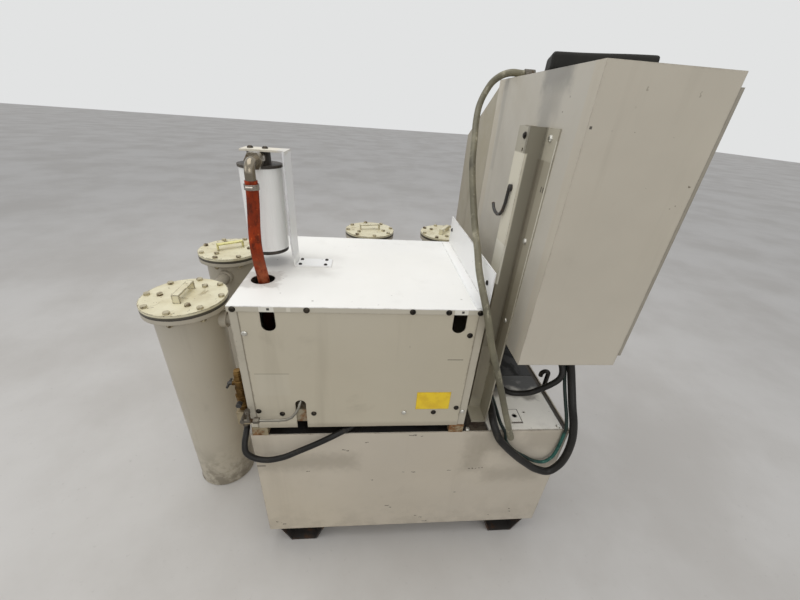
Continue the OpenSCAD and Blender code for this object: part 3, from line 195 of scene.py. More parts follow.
earth_route = [(1000, 125, 913), (1000, 125, 898), (997, 92, 795), (997, 64, 742), (997, 32, 698),
               (1001, 4, 650), (1003, -8, 618), (1004, -8, 590), (1003, -9, 545), (998, -12, 512),
               (988, -13, 480), (968, -14, 462), (935, -13, 464), (893, -9.5, 486), (850, -8, 515),
               (826, -7.5, 541), (808, -7.5, 572), (800, -9, 604), (786, 14, 626), (788, 60, 630),
               (790, 175, 645), (786, 240, 655), (735, 325, 684)]
earth_route.append(stub((676, 340, 690), earth_route[-1]))
link_route = [(965, 150, 913), (965, 150, 898), (966, 112, 850), (969, 60, 774), (944, 60, 746),
              (918, 65, 723), (891, 70, 703), (863, 80, 690), (833, 90, 685), (806, 120, 686),
              (796, 200, 700), (788, 250, 715), (765, 305, 735), (725, 350, 752)]
link_route.append(stub((676, 380, 760), link_route[-1]))

# Rounded end of the conduit: radius and height of each ring, from the tube's cut
tip_rows = [(0.0100, -0.016), (0.0108, -0.014), (0.0108, 0.0), (0.0104, 0.003), (0.0088, 0.0068),
            (0.0058, 0.0094), (0.002, 0.0105)]

hoses = {}
for name, route, radius, slot in (
        ("red_hose", red_route, 15.5, "red_rubber"),
        ("drain_hose", drain_route, 9, "black_rubber"),
        ("conduit_hose", conduit_route, 9.5, "conduit_cover"),
        ("loop_hose", loop_route, 12.5, "black_rubber"),
        ("earth_cable", earth_route, 5.5, "teal_cover"),
        ("link_hose", link_route, 9.5, "black_rubber")):
    line = smooth_line(route)
    piece = tube(name + "_smooth", line, radius / 1000)
    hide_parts(name)
    ends = []
    if name == "conduit_hose":
        tip = lathe("conduit_tip", tip_rows, line[-1], line[-1] - line[-2], 24)
        ends = [add("conduit_tip", tip, "unit")]
    hoses[name] = piece


# Materials
class Paint:
    """Short calls for building one procedural material."""

    def __init__(self, name, metallic=0.0, coat=0.0, sheen=0.0):
        self.mat = bpy.data.materials.new(name)
        self.mat.use_nodes = True
        self.tree = self.mat.node_tree
        self.tree.nodes.clear()
        out = self.tree.nodes.new("ShaderNodeOutputMaterial")
        self.shader = self.tree.nodes.new("ShaderNodeBsdfPrincipled")
        self.tree.links.new(self.shader.outputs[0], out.inputs[0])
        self.shader.inputs["Metallic"].default_value = metallic
        self.shader.inputs["Coat Weight"].default_value = coat
        self.shader.inputs["Sheen Weight"].default_value = sheen
        self.place = self.tree.nodes.new("ShaderNodeTexCoord").outputs["Object"]

    def put(self, socket, value):
        """Link a value from another node, or set a plain one."""
        if isinstance(value, bpy.types.NodeSocket):
            self.tree.links.new(value, socket)
        elif socket.type == "VECTOR":
            socket.default_value = value[:3]
        else:
            socket.default_value = value

    def math(self, kind, a, b=0.0, clamp=False):
        """One step of arithmetic on two numbers."""
        node = self.tree.nodes.new("ShaderNodeMath")
        node.operation = kind
        node.use_clamp = clamp
        self.put(node.inputs[0], a)
        self.put(node.inputs[1], b)
        return node.outputs[0]

    def vector(self, kind, a, b=(0, 0, 0), out=0):
        """One step of arithmetic on two vectors; output 0 is a vector and output 1 a number."""
        node = self.tree.nodes.new("ShaderNodeVectorMath")
        node.operation = kind
        self.put(node.inputs[0], a)
        self.put(node.inputs[1], b)
        return node.outputs[out]

    def noise(self, scale, detail=3, rough=0.5, stretch=None, shift=0.0, distortion=0.0):
        """Noise in the frame's metres: scale is how often a metre it turns."""
        node = self.tree.nodes.new("ShaderNodeTexNoise")
        place = self.place
        if stretch:
            place = self.vector("MULTIPLY", place, stretch)
        if shift:
            place = self.vector("ADD", place, (shift, shift * 0.7, -shift))
        self.put(node.inputs["Vector"], place)
        node.inputs["Scale"].default_value = scale
        node.inputs["Detail"].default_value = detail
        node.inputs["Roughness"].default_value = rough
        node.inputs["Distortion"].default_value = distortion
        return node.outputs[0]

    def span(self, value, low, high, a=0.0, b=1.0):
        """value's smooth way from low to high, as a to b."""
        node = self.tree.nodes.new("ShaderNodeMapRange")
        node.interpolation_type = "SMOOTHSTEP"
        for socket, number in zip(list(node.inputs)[:5], (value, low, high, a, b)):
            self.put(socket, number)
        return node.outputs[0]

    def mix(self, share, a, b):
        """Colour a, with b over it by share."""
        node = self.tree.nodes.new("ShaderNodeMix")
        node.data_type = "RGBA"
        colours = [s for s in node.inputs if s.type == "RGBA"]
        self.put(node.inputs[0], share)
        self.put(colours[0], a)
        self.put(colours[1], b)
        return [s for s in node.outputs if s.type == "RGBA"][0]

    def edges(self, radius):
        """How near a place is to a sharp outer edge, up to about 0.3."""
        soft = self.tree.nodes.new("ShaderNodeBevel")
        soft.samples = 4
        soft.inputs["Radius"].default_value = radius
        plain = self.tree.nodes.new("ShaderNodeNewGeometry").outputs["True Normal"]
        return self.math("SUBTRACT", 1.0, self.vector("DOT_PRODUCT", soft.outputs[0], plain, 1))

    def patch(self, centre, half, soft, wobble=0.0):
        """1 inside a box about centre, 0 beyond soft from it, with a wavy border."""
        place = self.place
        if wobble:
            node = self.tree.nodes.new("ShaderNodeTexNoise")
            self.put(node.inputs["Vector"], self.place)
            node.inputs["Scale"].default_value = 0.9 / wobble
            shake = self.vector("SUBTRACT", node.outputs["Color"], (0.5, 0.5, 0.5))
            place = self.vector("ADD", place, self.vector("MULTIPLY", shake, (2 * wobble,) * 3))
        away = self.vector("ABSOLUTE", self.vector("SUBTRACT", place, tuple(centre)))
        away = self.vector("SUBTRACT", away, tuple(half))
        split = self.tree.nodes.new("ShaderNodeSeparateXYZ")
        self.put(split.inputs[0], away)
        far = self.math("MAXIMUM", split.outputs[0], split.outputs[1])
        far = self.math("MAXIMUM", far, split.outputs[2])
        return self.span(far, 0.0, soft, 1.0, 0.0)

    def marks(self, coat, patches):
        """coat with each of the patches, as mark() gives them, over it."""
        for centre, half, soft, wobble, tint, share in patches:
            cover = self.math("MULTIPLY", self.patch(centre, half, soft, wobble), share)
            coat = self.mix(cover, coat, tint)
        return coat

    def height(self):
        """How far a place is above the floor, in metres."""
        split = self.tree.nodes.new("ShaderNodeSeparateXYZ")
        self.put(split.inputs[0], self.place)
        return split.outputs[2]

    def finish(self, colour, rough, bump, strength, distance, round_off):
        """The material, with its colour, roughness, bump and the radius of its soft edges."""
        self.put(self.shader.inputs["Base Color"], colour)
        self.put(self.shader.inputs["Roughness"], rough)
        node = self.tree.nodes.new("ShaderNodeBump")
        node.inputs["Strength"].default_value = strength
        node.inputs["Distance"].default_value = distance
        self.put(node.inputs["Height"], bump)
        if round_off:
            soft = self.tree.nodes.new("ShaderNodeBevel")
            soft.samples = 4
            soft.inputs["Radius"].default_value = round_off
            self.put(node.inputs["Normal"], soft.outputs[0])
        self.put(self.shader.inputs["Normal"], node.outputs[0])
        return self.mat


def shade(colour, by):
    """A colour made darker."""
    return tuple(c * by for c in colour[:3]) + (1,)


def mark(centre, half, soft, wave, tint, share):
    """A box of another colour on a coat: its place, half sizes, soft border and wave are in layout mm."""
    return at(*centre), tuple(h / 1000 for h in half), soft / 1000, wave / 1000, tint, share


def enamel(name, colour, wear, grime, streaks, low, shift, rough, patches=(),
           edge=rgb(104, 92, 72), seam=None):
    """Worn factory enamel: soft cloudy tone, runs, smudges, small chips and rubbed edges.

    wear, grime, streaks and low are the shares of rubbed edges, smudges, runs and dirt near the floor.
    shift moves the noise, so that no two pieces look alike, and seam is a pressed line in the sheet.
    """
    p = Paint(name, coat=0.06)
    dirt = rgb(112, 99, 78)
    tone = p.mix(p.span(p.noise(1.9, 5, 0.55, shift=shift), 0.36, 0.68), colour, shade(colour, 0.90))
    yellowed = (colour[0] * 0.98, colour[1] * 0.95, colour[2] * 0.86, 1)
    warm = p.mix(p.span(p.noise(0.8, 3, shift=shift + 3), 0.42, 0.66, 0, 0.5), tone, yellowed)
    runs = p.noise(1, 4, 0.6, (13, 13, 0.9), shift)
    coat = p.mix(p.span(runs, 0.54, 0.76, 0, streaks), warm, dirt)
    smudge = p.noise(5.5, 7, 0.68, shift=shift + 7, distortion=0.4)
    coat = p.mix(p.span(smudge, 0.58, 0.80, 0, grime), coat, dirt)
    if low:
        near_floor = p.span(p.height(), 0.02, 0.30, 1, 0)
        patchy = p.span(p.noise(11, 5, 0.7, shift=shift), 0.40, 0.62)
        splash = p.math("MULTIPLY", p.math("MULTIPLY", near_floor, patchy), low)
        coat = p.mix(splash, coat, shade(dirt, 0.55))
    coat = p.marks(coat, patches)
    fine = p.noise(75, 2, 0.5, shift=shift)
    where = p.span(p.noise(2.6, 3, shift=shift + 5), 0.50, 0.66)
    chips = p.math("MULTIPLY", p.span(fine, 0.735, 0.755), where)
    rub = p.span(p.noise(23, 4, 0.7), 0.42, 0.64)
    rubbed = p.math("MULTIPLY", p.span(p.edges(0.005), 0.03, 0.16), rub)
    bare = p.math("MAXIMUM", p.math("MULTIPLY", chips, 0.85), p.math("MULTIPLY", rubbed, wear))
    coat = p.mix(bare, coat, edge)
    gloss = p.span(p.noise(14, 5, 0.6), 0.3, 0.75, rough - 0.06, rough + 0.16)
    peel = p.noise(420, 2)
    if seam:
        peel = p.math("SUBTRACT", peel, p.math("MULTIPLY", p.patch(*seam), 3.0))
    bump = p.math("SUBTRACT", peel, p.math("MULTIPLY", chips, 2.0))
    return p.finish(coat, gloss, bump, 0.10, 0.0006, 0.0016)


# Marks that the photograph shows, piece by piece
body = rgb(193, 185, 166)
# Darker brown-grey, for smudges and for painted shade and painted shadows
dark_smudge_and_shade = rgb(118, 108, 90)
dark_stain = rgb(84, 80, 70)
pale_rub = rgb(196, 190, 172)
old_seal = rgb(92, 80, 62)
bare_chip = rgb(66, 60, 50)
pin_hole = rgb(60, 54, 46)
plate_edge = rgb(70, 60, 46)
screw_hole = rgb(40, 36, 30)

panel_marks = [
    mark((89, 0, 806), (41, 10, 37), 6, 0, pale_rub, 0.26),
    mark((89, 0, 845), (45, 10, 1), 2, 0, dark_smudge_and_shade, 0.35),
    mark((594, 0, 896), (22, 10, 0.8), 1, 0, dark_stain, 0.8),
    mark((330, 0, 640), (330, 20, 2), 16, 4, dark_smudge_and_shade, 0.30),
    # Dark bands down both edges of the panel: painted shade in the folds beside the casing strips
    mark((12, 0, 860), (8, 20, 170), 12, 10, dark_smudge_and_shade, 0.45),
    mark((648, 0, 860), (6, 20, 170), 12, 10, dark_smudge_and_shade, 0.35)]
casing_marks = [
    mark((30, 0, 850), (2.2, 20, 220), 3, 2, old_seal, 0.65),
    mark((636, 0, 850), (1.6, 20, 220), 2, 2, old_seal, 0.45)]
tank_marks = [
    mark((150, 0, 470), (140, 20, 6), 60, 20, dark_smudge_and_shade, 0.34),
    mark((12, 0, 457), (14, 20, 2), 3, 0, dark_stain, 0.7),
    # Soft dark bands: painted shadows of the conduit and the hoses on the tank's front
    mark((720, 0, 500), (10, 20, 70), 50, 20, dark_smudge_and_shade, 0.34),
    mark((790, 0, 560), (20, 20, 30), 50, 20, dark_smudge_and_shade, 0.34),
    mark((870, 0, 380), (70, 20, 6), 60, 20, dark_smudge_and_shade, 0.30),
    mark((960, 0, 560), (50, 20, 20), 50, 20, dark_smudge_and_shade, 0.24)]
# Small chips on the tank's front: x, z and half width
for x, z, wide in (
        (280, 527, 5), (292, 522, 4), (481, 406, 3), (516, 404, 7), (640, 408, 6), (712, 414, 2),
        (724, 415, 2), (736, 416, 2), (748, 417, 2), (760, 418, 2), (374, 366, 3), (434, 211, 7),
        (446, 200, 3), (678, 280, 4), (565, 127, 6), (545, 140, 4), (584, 100, 10), (837, 124, 4),
        (918, 143, 4), (914, 160, 3), (55, 118, 6), (30, 134, 4), (160, 424, 6), (352, 560, 4),
        (500, 590, 12), (530, 585, 4)):
    tank_marks.append(mark((x, 0, z), (wide, 20, 1.2), 1.2, 5, bare_chip, 0.85))
enclosure_marks = [
    # Dark patches on the side below the rubber slab: painted shadow of the slab
    mark((748, 118, 1594), (6, 45, 12), 40, 10, rgb(92, 86, 76), 0.80),
    mark((748, 126, 1560), (6, 30, 30), 40, 10, rgb(118, 112, 102), 0.45),
    mark((748, 135, 1500), (6, 12, 50), 30, 10, rgb(138, 133, 122), 0.35),
    # Soft dark band down the side: painted shadow of the conduit
    mark((748, 440, 1470), (4, 8, 120), 12, 4, dark_smudge_and_shade, 0.30),
    # Cooler grey over the whole side face: painted light, the tint that side takes from the light falling
    # on it
    mark((748, 220, 1270), (4, 240, 340), 4, 0, rgb(186, 184, 176), 0.35),
    mark((745, -55, 1492), (2.2, 6, 2.2), 0.8, 0, pin_hole, 0.9),
    mark((755, -55, 1492), (2.2, 6, 2.2), 0.8, 0, pin_hole, 0.9)]
enclosure_seam = (at(748, 505, 1400), (0.004, 0.0012, 0.12), 0.001)
post_marks = [
    # Dark band on the post's front-facing web: painted shade
    mark((725, 104, 1180), (21, 8, 310), 4, 2, rgb(112, 107, 92), 0.70),
    # Pale bands on the post's glossy outer face: painted reflection of the pale backdrop; the darker band
    # below them is painted shade
    mark((706, 135, 1313), (4, 34, 112), 4, 0, rgb(226, 220, 200), 0.80),
    mark((706, 135, 1142), (4, 34, 56), 3, 0, rgb(240, 236, 220), 0.80),
    mark((706, 135, 860), (4, 34, 190), 40, 0, rgb(134, 126, 108), 0.75),
    mark((745, 75, 1110), (3, 29, 305), 4, 0, rgb(140, 132, 114), 0.55),
    mark((745, 92, 1110), (3, 12, 305), 4, 0, rgb(112, 104, 88), 0.55),
    mark((745, 41, 1100), (3, 1.2, 360), 1, 0, rgb(226, 222, 208), 0.70),
    mark((745, 48, 1356), (4, 1.6, 6), 0.6, 0, screw_hole, 0.95),
    mark((745, 58, 1356), (4, 1.6, 6), 0.6, 0, screw_hole, 0.95)]

paints = {
    "tank": enamel("paint_tank", rgb(200, 190, 172), 0.75, 0.16, 0.10, 0.2, 0.0, 0.46, tank_marks),
    "tank_inserts": enamel("paint_inserts", rgb(62, 54, 44), 0.6, 0.5, 0.2, 0, 0.6, 0.60),
    "cabinet_casing": enamel("paint_casing", body, 0.8, 0.32, 0.25, 0, 1.3, 0.44, casing_marks),
    "front_panel": enamel("paint_panel", body, 0.9, 0.20, 0.16, 0, 2.1, 0.42, panel_marks),
    "enclosure_shell": enamel("paint_enclosure", rgb(196, 188, 171), 0.35, 0.10, 0.16, 0, 4.2, 0.36,
                              enclosure_marks, seam=enclosure_seam),
    # The door is darker than the shell: painted shade, as its edge turns away from the light
    "enclosure_door": enamel("paint_door", rgb(158, 151, 136), 0.5, 0.12, 0.12, 0, 4.9, 0.36),
    "pedestal": enamel("paint_pedestal", rgb(168, 160, 140), 0.7, 0.30, 0.30, 0, 6.0, 0.46),
    "post": enamel("paint_post", rgb(178, 172, 154), 0.6, 0.25, 0.30, 0, 7.4, 0.44, post_marks),
    "canister_1": enamel("paint_can_1", rgb(187, 179, 162), 0.7, 0.28, 0.18, 0.6, 8.0, 0.46),
    "canister_2": enamel("paint_can_2", rgb(180, 172, 154), 0.7, 0.30, 0.20, 0.6, 9.0, 0.46),
    "canister_3": enamel("paint_can_3", rgb(184, 176, 159), 0.7, 0.30, 0.22, 0.7, 10.0, 0.46),
    "canister_4": enamel("paint_can_4", rgb(184, 176, 159), 0.7, 0.30, 0.22, 0.7, 11.0, 0.46),
}
# White for the cover, the drip shield and the bracket; on the cover's top it is a painted highlight, the
# strong top light on beige paint
white_and_top_light = rgb(250, 250, 248)
cover_marks = [
    mark((100, 260, 1062), (90, 30, 10), 90, 60, rgb(196, 192, 184), 0.45),
    mark((52, 147, 1062), (40, 40, 10), 20, 20, rgb(160, 150, 138), 0.45)]
# The lip over the front panel is painted as the body is, and bare above each lifting slot
lip_y = -2.3
lip_marks = [mark((333, lip_y, 1050), (360, 1.6, 7.5), 1.2, 0, rgb(192, 185, 167), 1.0)]
for slot_x in (99, 588):
    lip_marks.append(mark((slot_x, lip_y, 1051), (17.5, 3, 6.8), 0.8, 0, rgb(226, 222, 208), 0.9))
    lip_marks.append(mark((slot_x + 4, lip_y, 1052), (2.8, 4, 2.8), 1.2, 0, rgb(30, 27, 24), 0.95))
lip_marks.append(mark((152, lip_y, 1052), (4, 3, 5), 2, 1, rgb(222, 216, 200), 0.7))
shield_marks = [
    mark((655, 260, 1112), (6, 250, 45), 20, 0, rgb(222, 218, 206), 0.15)]
bracket_marks = [
    mark((85, 270, 1386), (90, 50, 6), 4, 10, rgb(212, 202, 176), 0.75),
    mark((125, 250, 1240), (8, 60, 140), 20, 0, rgb(206, 206, 206), 0.6)]
for name, marks in (("cabinet_cover", cover_marks + lip_marks), ("drip_shield", shield_marks),
                    ("separator_bracket", bracket_marks)):
    paints[name] = enamel("white_" + name, white_and_top_light, 0.5, 0.06, 0.05, 0, 12.0 + len(name), 0.40, marks)
service_marks = [
    mark((1002, 130, 602), (3.5, 140, 8), 2, 0, rgb(236, 232, 220), 0.7),
    mark((868, 168, 602), (90, 10, 10), 30, 50, rgb(96, 84, 68), 0.7),
    # Near-black back region: painted shade, standing in for the deep shade and the cable tangle behind the
    # post
    mark((860, 330, 602), (200, 120, 10), 50, 40, rgb(10, 9, 8), 0.97),
    # Dark patch by the post's foot: painted shade under the post's web
    mark((722, 62, 602), (24, 75, 10), 6, 6, rgb(34, 29, 24), 0.9),
    mark((856, 33, 604), (20, 1.6, 6), 1.2, 1, plate_edge, 0.85),
    mark((856, 91, 604), (20, 1.6, 6), 1.2, 1, plate_edge, 0.85),
    mark((875, 62, 604), (1.6, 30, 6), 1.2, 1, plate_edge, 0.85)]
paints["service_cover"] = enamel("white_service_cover", rgb(250, 246, 234), 0.8, 0.22, 0.08, 0, 25.0, 0.36,
                                 service_marks, edge=rgb(86, 70, 50))


# Top of the canisters' lids in metres, and the layout places of the canisters' axes in mm
LID_TOP = 0.8905
canisters = ((-281, 350), (-281, 805), (353, 1172), (783, 1172))


def lid_paint():
    """Cream enamel, stained and chipped, with a yellow handle on the second lid and painted shade along
    the lower rim.
    """
    p = Paint("cream_lids")
    coat = p.mix(p.span(p.noise(9, 6, 0.6), 0.40, 0.66), rgb(226, 219, 188), rgb(210, 200, 166))
    stains = p.span(p.noise(21, 6, 0.7, distortion=0.6), 0.56, 0.70, 0, 0.75)
    coat = p.mix(stains, coat, rgb(150, 134, 98))
    coat = p.marks(coat, [mark((*canisters[1], 912), (70, 70, 12), 6, 10, rgb(232, 224, 128), 0.7)])
    rim = p.span(p.edges(0.007), 0.02, 0.14)
    worn = p.math("MULTIPLY", rim, p.span(p.noise(34, 4, 0.7), 0.36, 0.58))
    coat = p.mix(worn, coat, rgb(96, 80, 58))
    chips = p.span(p.noise(95, 2), 0.70, 0.72)
    coat = p.mix(chips, coat, rgb(92, 74, 52))
    # Painted shade along the lid's lower side, above the gasket
    shaded_lower_rim = p.span(p.height(), LID_TOP - 0.010, LID_TOP - 0.007, 0.92, 0)
    coat = p.mix(shaded_lower_rim, coat, rgb(44, 38, 30))
    bump = p.math("SUBTRACT", p.noise(60, 4), p.math("ADD", chips, stains))
    return p.finish(coat, p.span(stains, 0, 1, 0.45, 0.75), bump, 0.22, 0.0008, 0.0016)


def rusty(name, base, rust, share, rough, scale, metallic=0.0, dark=None, shift=0.0, patches=()):
    """Steel that rusts in patches, share from 0 to 1 of its face, scale of them a metre."""
    p = Paint(name, metallic=metallic)
    blotches = p.noise(scale, 7, 0.66, shift=shift, distortion=0.5)
    spots = p.span(blotches, 0.56 - share * 0.2, 0.66 - share * 0.1)
    deep = p.span(p.noise(scale * 3.5, 5, 0.7, shift=shift), 0.45, 0.65)
    coat = p.mix(spots, base, p.mix(deep, rust, shade(rust, 0.45)))
    if dark:
        coat = p.mix(p.span(p.noise(3.2, 4, shift=shift + 2), 0.42, 0.62, 0, 0.8), coat, dark)
    coat = p.marks(coat, patches)
    bump = p.math("ADD", p.math("MULTIPLY", spots, 0.6), p.noise(scale * 14, 4, 0.7))
    return p.finish(coat, p.span(spots, 0, 1, rough - 0.14, 0.86), bump, 0.3, 0.0007, 0.0010)


def metal(name, colour, rough, brushed, dirt, tint=rgb(92, 82, 66), bump=0.08, metallic=1.0):
    """Bare metal with fine tool or brush lines and a grey-brown film."""
    p = Paint(name, metallic=metallic)
    lines = p.noise(32, 2, 0.4, brushed)
    tone = p.mix(p.span(lines, 0.3, 0.7), colour, shade(colour, 0.86))
    film = p.span(p.noise(9, 6, 0.65, distortion=0.4), 0.46, 0.72, 0, dirt)
    coat = p.mix(film, tone, tint)
    gloss = p.span(lines, 0.2, 0.8, rough - 0.05, rough + 0.07)
    gloss = p.math("ADD", gloss, p.math("MULTIPLY", film, 0.5), True)
    return p.finish(coat, gloss, lines, bump, 0.0004, 0.0008)


def plastic(name, colour, rough, grain, dust, dirt=rgb(120, 112, 98), bump=0.12):
    """Moulded plastic or black rubber with a fine grain and dust."""
    p = Paint(name)
    film = p.span(p.noise(13, 6, 0.65, distortion=0.3), 0.46, 0.72, 0, dust)
    tone = p.mix(p.span(p.noise(5, 4), 0.4, 0.65), colour, shade(colour, 0.75))
    rub = p.math("MULTIPLY", p.span(p.edges(0.003), 0.03, 0.14), 0.35)
    coat = p.mix(rub, p.mix(film, tone, dirt), shade(dirt, 0.8))
    return p.finish(coat, p.span(film, 0, 1, rough, 0.85), p.noise(grain, 3), bump, 0.0004, 0.0009)


def rubber_hose(name, colour, worn, share, rough, scale, dark=None, patches=()):
    """Rubber or plastic hose: cloudy tone, scuffs along its run and, where it is given, dark patches."""
    p = Paint(name)
    p.shader.inputs["Specular IOR Level"].default_value = 0.25
    tone = p.mix(p.span(p.noise(scale, 6, 0.62, distortion=0.5), 0.40, 0.64), colour, shade(colour, 0.62))
    scuffs = p.span(p.noise(scale * 4.5, 5, 0.72, (1, 1, 0.4)), 0.54, 0.68, 0, share)
    coat = p.mix(scuffs, tone, worn)
    if dark:
        coat = p.mix(p.span(p.noise(scale * 1.6, 3, shift=3), 0.56, 0.70, 0, 0.7), coat, dark)
    coat = p.marks(coat, patches)
    bump = p.math("ADD", p.noise(scale * 26, 3), p.math("MULTIPLY", scuffs, -0.6))
    return p.finish(coat, p.span(scuffs, 0, share, rough, 0.8), bump, 0.22, 0.0007, 0)


# Screws that are bright in the photograph, and the row of them on the post
bright_screws = ((37, 0, 983.5), (463, 0, 693), (645, 0, 693), (992, 16, 603), (678, 11, 603))
post_screws = (at(745, 134, 1300), (0.006, 0.12, 0.5), 0.004)


def screws_finish():
    """Black socket screws, a few of them bright."""
    p = Paint("screw_black", metallic=1.0)
    bright = p.patch(*post_screws)
    for place in bright_screws:
        bright = p.math("MAXIMUM", bright, p.patch(at(*place), (0.012, 0.012, 0.012), 0.002))
    oil = p.span(p.noise(70, 4), 0.42, 0.62)
    coat = p.mix(bright, p.mix(oil, rgb(40, 38, 36), rgb(74, 68, 60)), rgb(200, 198, 190))
    return p.finish(coat, p.span(oil, 0, 1, 0.32, 0.55), p.noise(400, 2), 0.1, 0.0003, 0.0008)


def felt():
    """White needle felt of the filter bags."""
    p = Paint("felt_white", sheen=0.3)
    fibres = p.noise(160, 5, 0.75, distortion=1.2)
    coat = p.mix(p.span(fibres, 0.35, 0.7), rgb(232, 227, 212), rgb(198, 188, 164))
    return p.finish(coat, 0.9, fibres, 0.4, 0.0012, 0)


def red_rubber():
    """Red hose: darker weave and pale scuffs, dusty near the cover's hole, with painted shade below it
    inside the cabinet.
    """
    p = Paint("red_rubber")
    p.shader.inputs["Specular IOR Level"].default_value = 0.2
    coat = p.mix(p.span(p.noise(11, 6, 0.6), 0.38, 0.62), rgb(160, 56, 13), rgb(118, 40, 10))
    weave = p.span(p.noise(55, 5, 0.7, (1, 1, 0.5)), 0.48, 0.62, 0, 0.75)
    coat = p.mix(weave, coat, rgb(74, 28, 10))
    scuffs = p.span(p.noise(90, 4, 0.7, shift=4), 0.60, 0.72, 0, 0.7)
    coat = p.mix(scuffs, coat, rgb(206, 98, 44))
    near_hole = p.span(p.height(), 1.06, 1.16, 0.55, 0)
    dust = p.math("MULTIPLY", near_hole, p.span(p.noise(40, 4), 0.4, 0.6))
    coat = p.mix(dust, coat, rgb(190, 108, 70))
    # Painted shade on the hose below the cover, inside the cabinet
    inside = p.span(p.height(), 1.03, 1.06, 0.85, 0)
    coat = p.mix(inside, coat, rgb(40, 22, 16))
    return p.finish(coat, 0.62, p.noise(120, 5, 0.7), 0.3, 0.0010, 0)


deck_marks = [
    # Near-black deck at the back and under the cabinet: painted shade, with the cable tangle behind the
    # post
    mark((860, 330, 602), (200, 150, 10), 60, 0, rgb(10, 9, 8), 0.97),
    mark((330, 300, 602), (340, 300, 10), 20, 0, rgb(18, 16, 14), 0.9)]
breather_and_glands = [
    mark((1032, 215, 610), (28, 20, 90), 4, 0, rgb(30, 28, 26), 0.92),
    mark((980, 120, 906), (50, 60, 30), 10, 0, rgb(34, 32, 30), 0.9)]
# Dark green-black over most of the earth cable: painted shade with grime; it stays teal low on the right
teal_marks = [
    mark((900, 150, 790), (300, 400, 180), 20, 0, rgb(32, 38, 34), 0.85),
    mark((820, 0, 540), (90, 100, 120), 50, 0, rgb(36, 44, 40), 0.85)]

paints["canister_lids"] = lid_paint()
paints["deck_plate"] = rusty("deck_steel", rgb(74, 65, 52), rgb(54, 40, 28), 0.5, 0.66, 12,
                             dark=rgb(30, 26, 22), patches=deck_marks)
paints["cabinet_frame"] = rusty("frame_steel", rgb(150, 138, 108), rgb(128, 84, 40), 0.75, 0.66, 22,
                                shift=2)
paints["pump_rails"] = rusty("rail_steel", rgb(150, 140, 116), rgb(122, 84, 46), 0.55, 0.62, 18, shift=3)
paints["filter_pipes"] = rusty("pipe_rust", rgb(150, 142, 126), rgb(104, 90, 72), 0.35, 0.6, 20, shift=4)
paints["elbow_pipe"] = rusty("elbow_steel", rgb(140, 131, 115), rgb(94, 80, 63), 0.3, 0.30, 22, 0.75,
                             shift=5)
paints["lid_bolts"] = rusty("bolt_steel", rgb(186, 176, 146), rgb(96, 78, 54), 0.5, 0.5, 34, 0.2, shift=6)
paints["skids"] = rusty("skid_black", rgb(48, 45, 42), rgb(82, 58, 40), 0.35, 0.7, 14, shift=7)
paints["dome_screws"] = screws_finish()
paints["hose_fittings"] = rusty("fitting_steel", rgb(104, 98, 88), rgb(84, 64, 42), 0.45, 0.45, 40, 0.7,
                                shift=8, patches=breather_and_glands)
paints["cable_hook"] = rusty("hook_black", rgb(38, 36, 34), rgb(84, 58, 38), 0.25, 0.5, 60, shift=9)
paints["door_latch"] = plastic("latch_black", rgb(46, 46, 46), 0.42, 600, 0.2)
paints["suction_pipe"] = metal("suction_steel", rgb(170, 168, 162), 0.34, (1, 1, 30), 0.4)
paints["pressure_pipe"] = metal("pressure_steel", rgb(160, 158, 152), 0.32, (30, 30, 1), 0.35)
paints["bypass_pipe"] = metal("bypass_steel", rgb(140, 136, 126), 0.36, (1, 1, 20), 0.35)
paints["pump_shaft"] = metal("pump_shaft_steel", rgb(196, 196, 194), 0.2, (60, 1, 1), 0.1)
paints["motor_shaft"] = metal("motor_shaft_steel", rgb(200, 200, 198), 0.2, (60, 1, 1), 0.1)
paints["hose_clamps"] = metal("clamp_steel", rgb(178, 170, 160), 0.24, (1, 1, 60), 0.5, rgb(110, 70, 50))
paints["filter_baskets"] = metal("basket_steel", rgb(190, 190, 186), 0.34, (1, 1, 30), 0.2)
paints["back_plate"] = metal("plate_zinc", rgb(206, 206, 198), 0.36, (1, 30, 30), 0.12)
paints["valve_block"] = metal("block_steel", rgb(176, 164, 138), 0.42, (30, 30, 30), 0.75,
                              rgb(112, 90, 60), 0.2)
paints["separator_shell"] = metal("separator_silver", rgb(255, 255, 250), 0.26, (90, 90, 1), 0.02,
                                  rgb(210, 208, 200), metallic=0.0)
paints["coupling_hubs"] = metal("hub_alloy", rgb(168, 170, 170), 0.36, (30, 1, 1), 0.25)
paints["bell_housing"] = metal("bell_alloy", rgb(158, 162, 164), 0.5, (20, 20, 20), 0.3, bump=0.25)
paints["relief_valve"] = metal("valve_brass", rgb(132, 104, 62), 0.44, (30, 30, 30), 0.95,
                               rgb(62, 44, 26), 0.3)
paints["pump_body"] = enamel("paint_pump", rgb(104, 120, 132), 0.4, 0.2, 0.1, 0, 15.0, 0.44)
paints["motor_body"] = enamel("paint_motor", rgb(74, 106, 128), 0.5, 0.2, 0.1, 0, 16.0, 0.44)
paints["fan_cover"] = enamel("paint_fan_cover", rgb(72, 102, 124), 0.5, 0.2, 0.1, 0, 17.0, 0.44)
paints["relief_knob"] = plastic("knob_black", rgb(40, 38, 36), 0.45, 500, 0.35)
paints["valve_lever"] = plastic("lever_black", rgb(38, 36, 34), 0.45, 500, 0.35)
paints["separator_caps"] = plastic("cap_black", rgb(58, 53, 47), 0.55, 300, 0.45, rgb(110, 98, 80), 0.3)
paints["motor_fan"] = plastic("fan_black", rgb(44, 44, 44), 0.5, 500, 0.2)
paints["lid_gaskets"] = plastic("gasket_black", rgb(40, 38, 35), 0.7, 300, 0.3)
paints["coupling_spider"] = plastic("spider_red", rgb(176, 60, 40), 0.45, 500, 0.1)
paints["switchgear"] = plastic("switchgear_grey", rgb(206, 206, 200), 0.45, 700, 0.12)
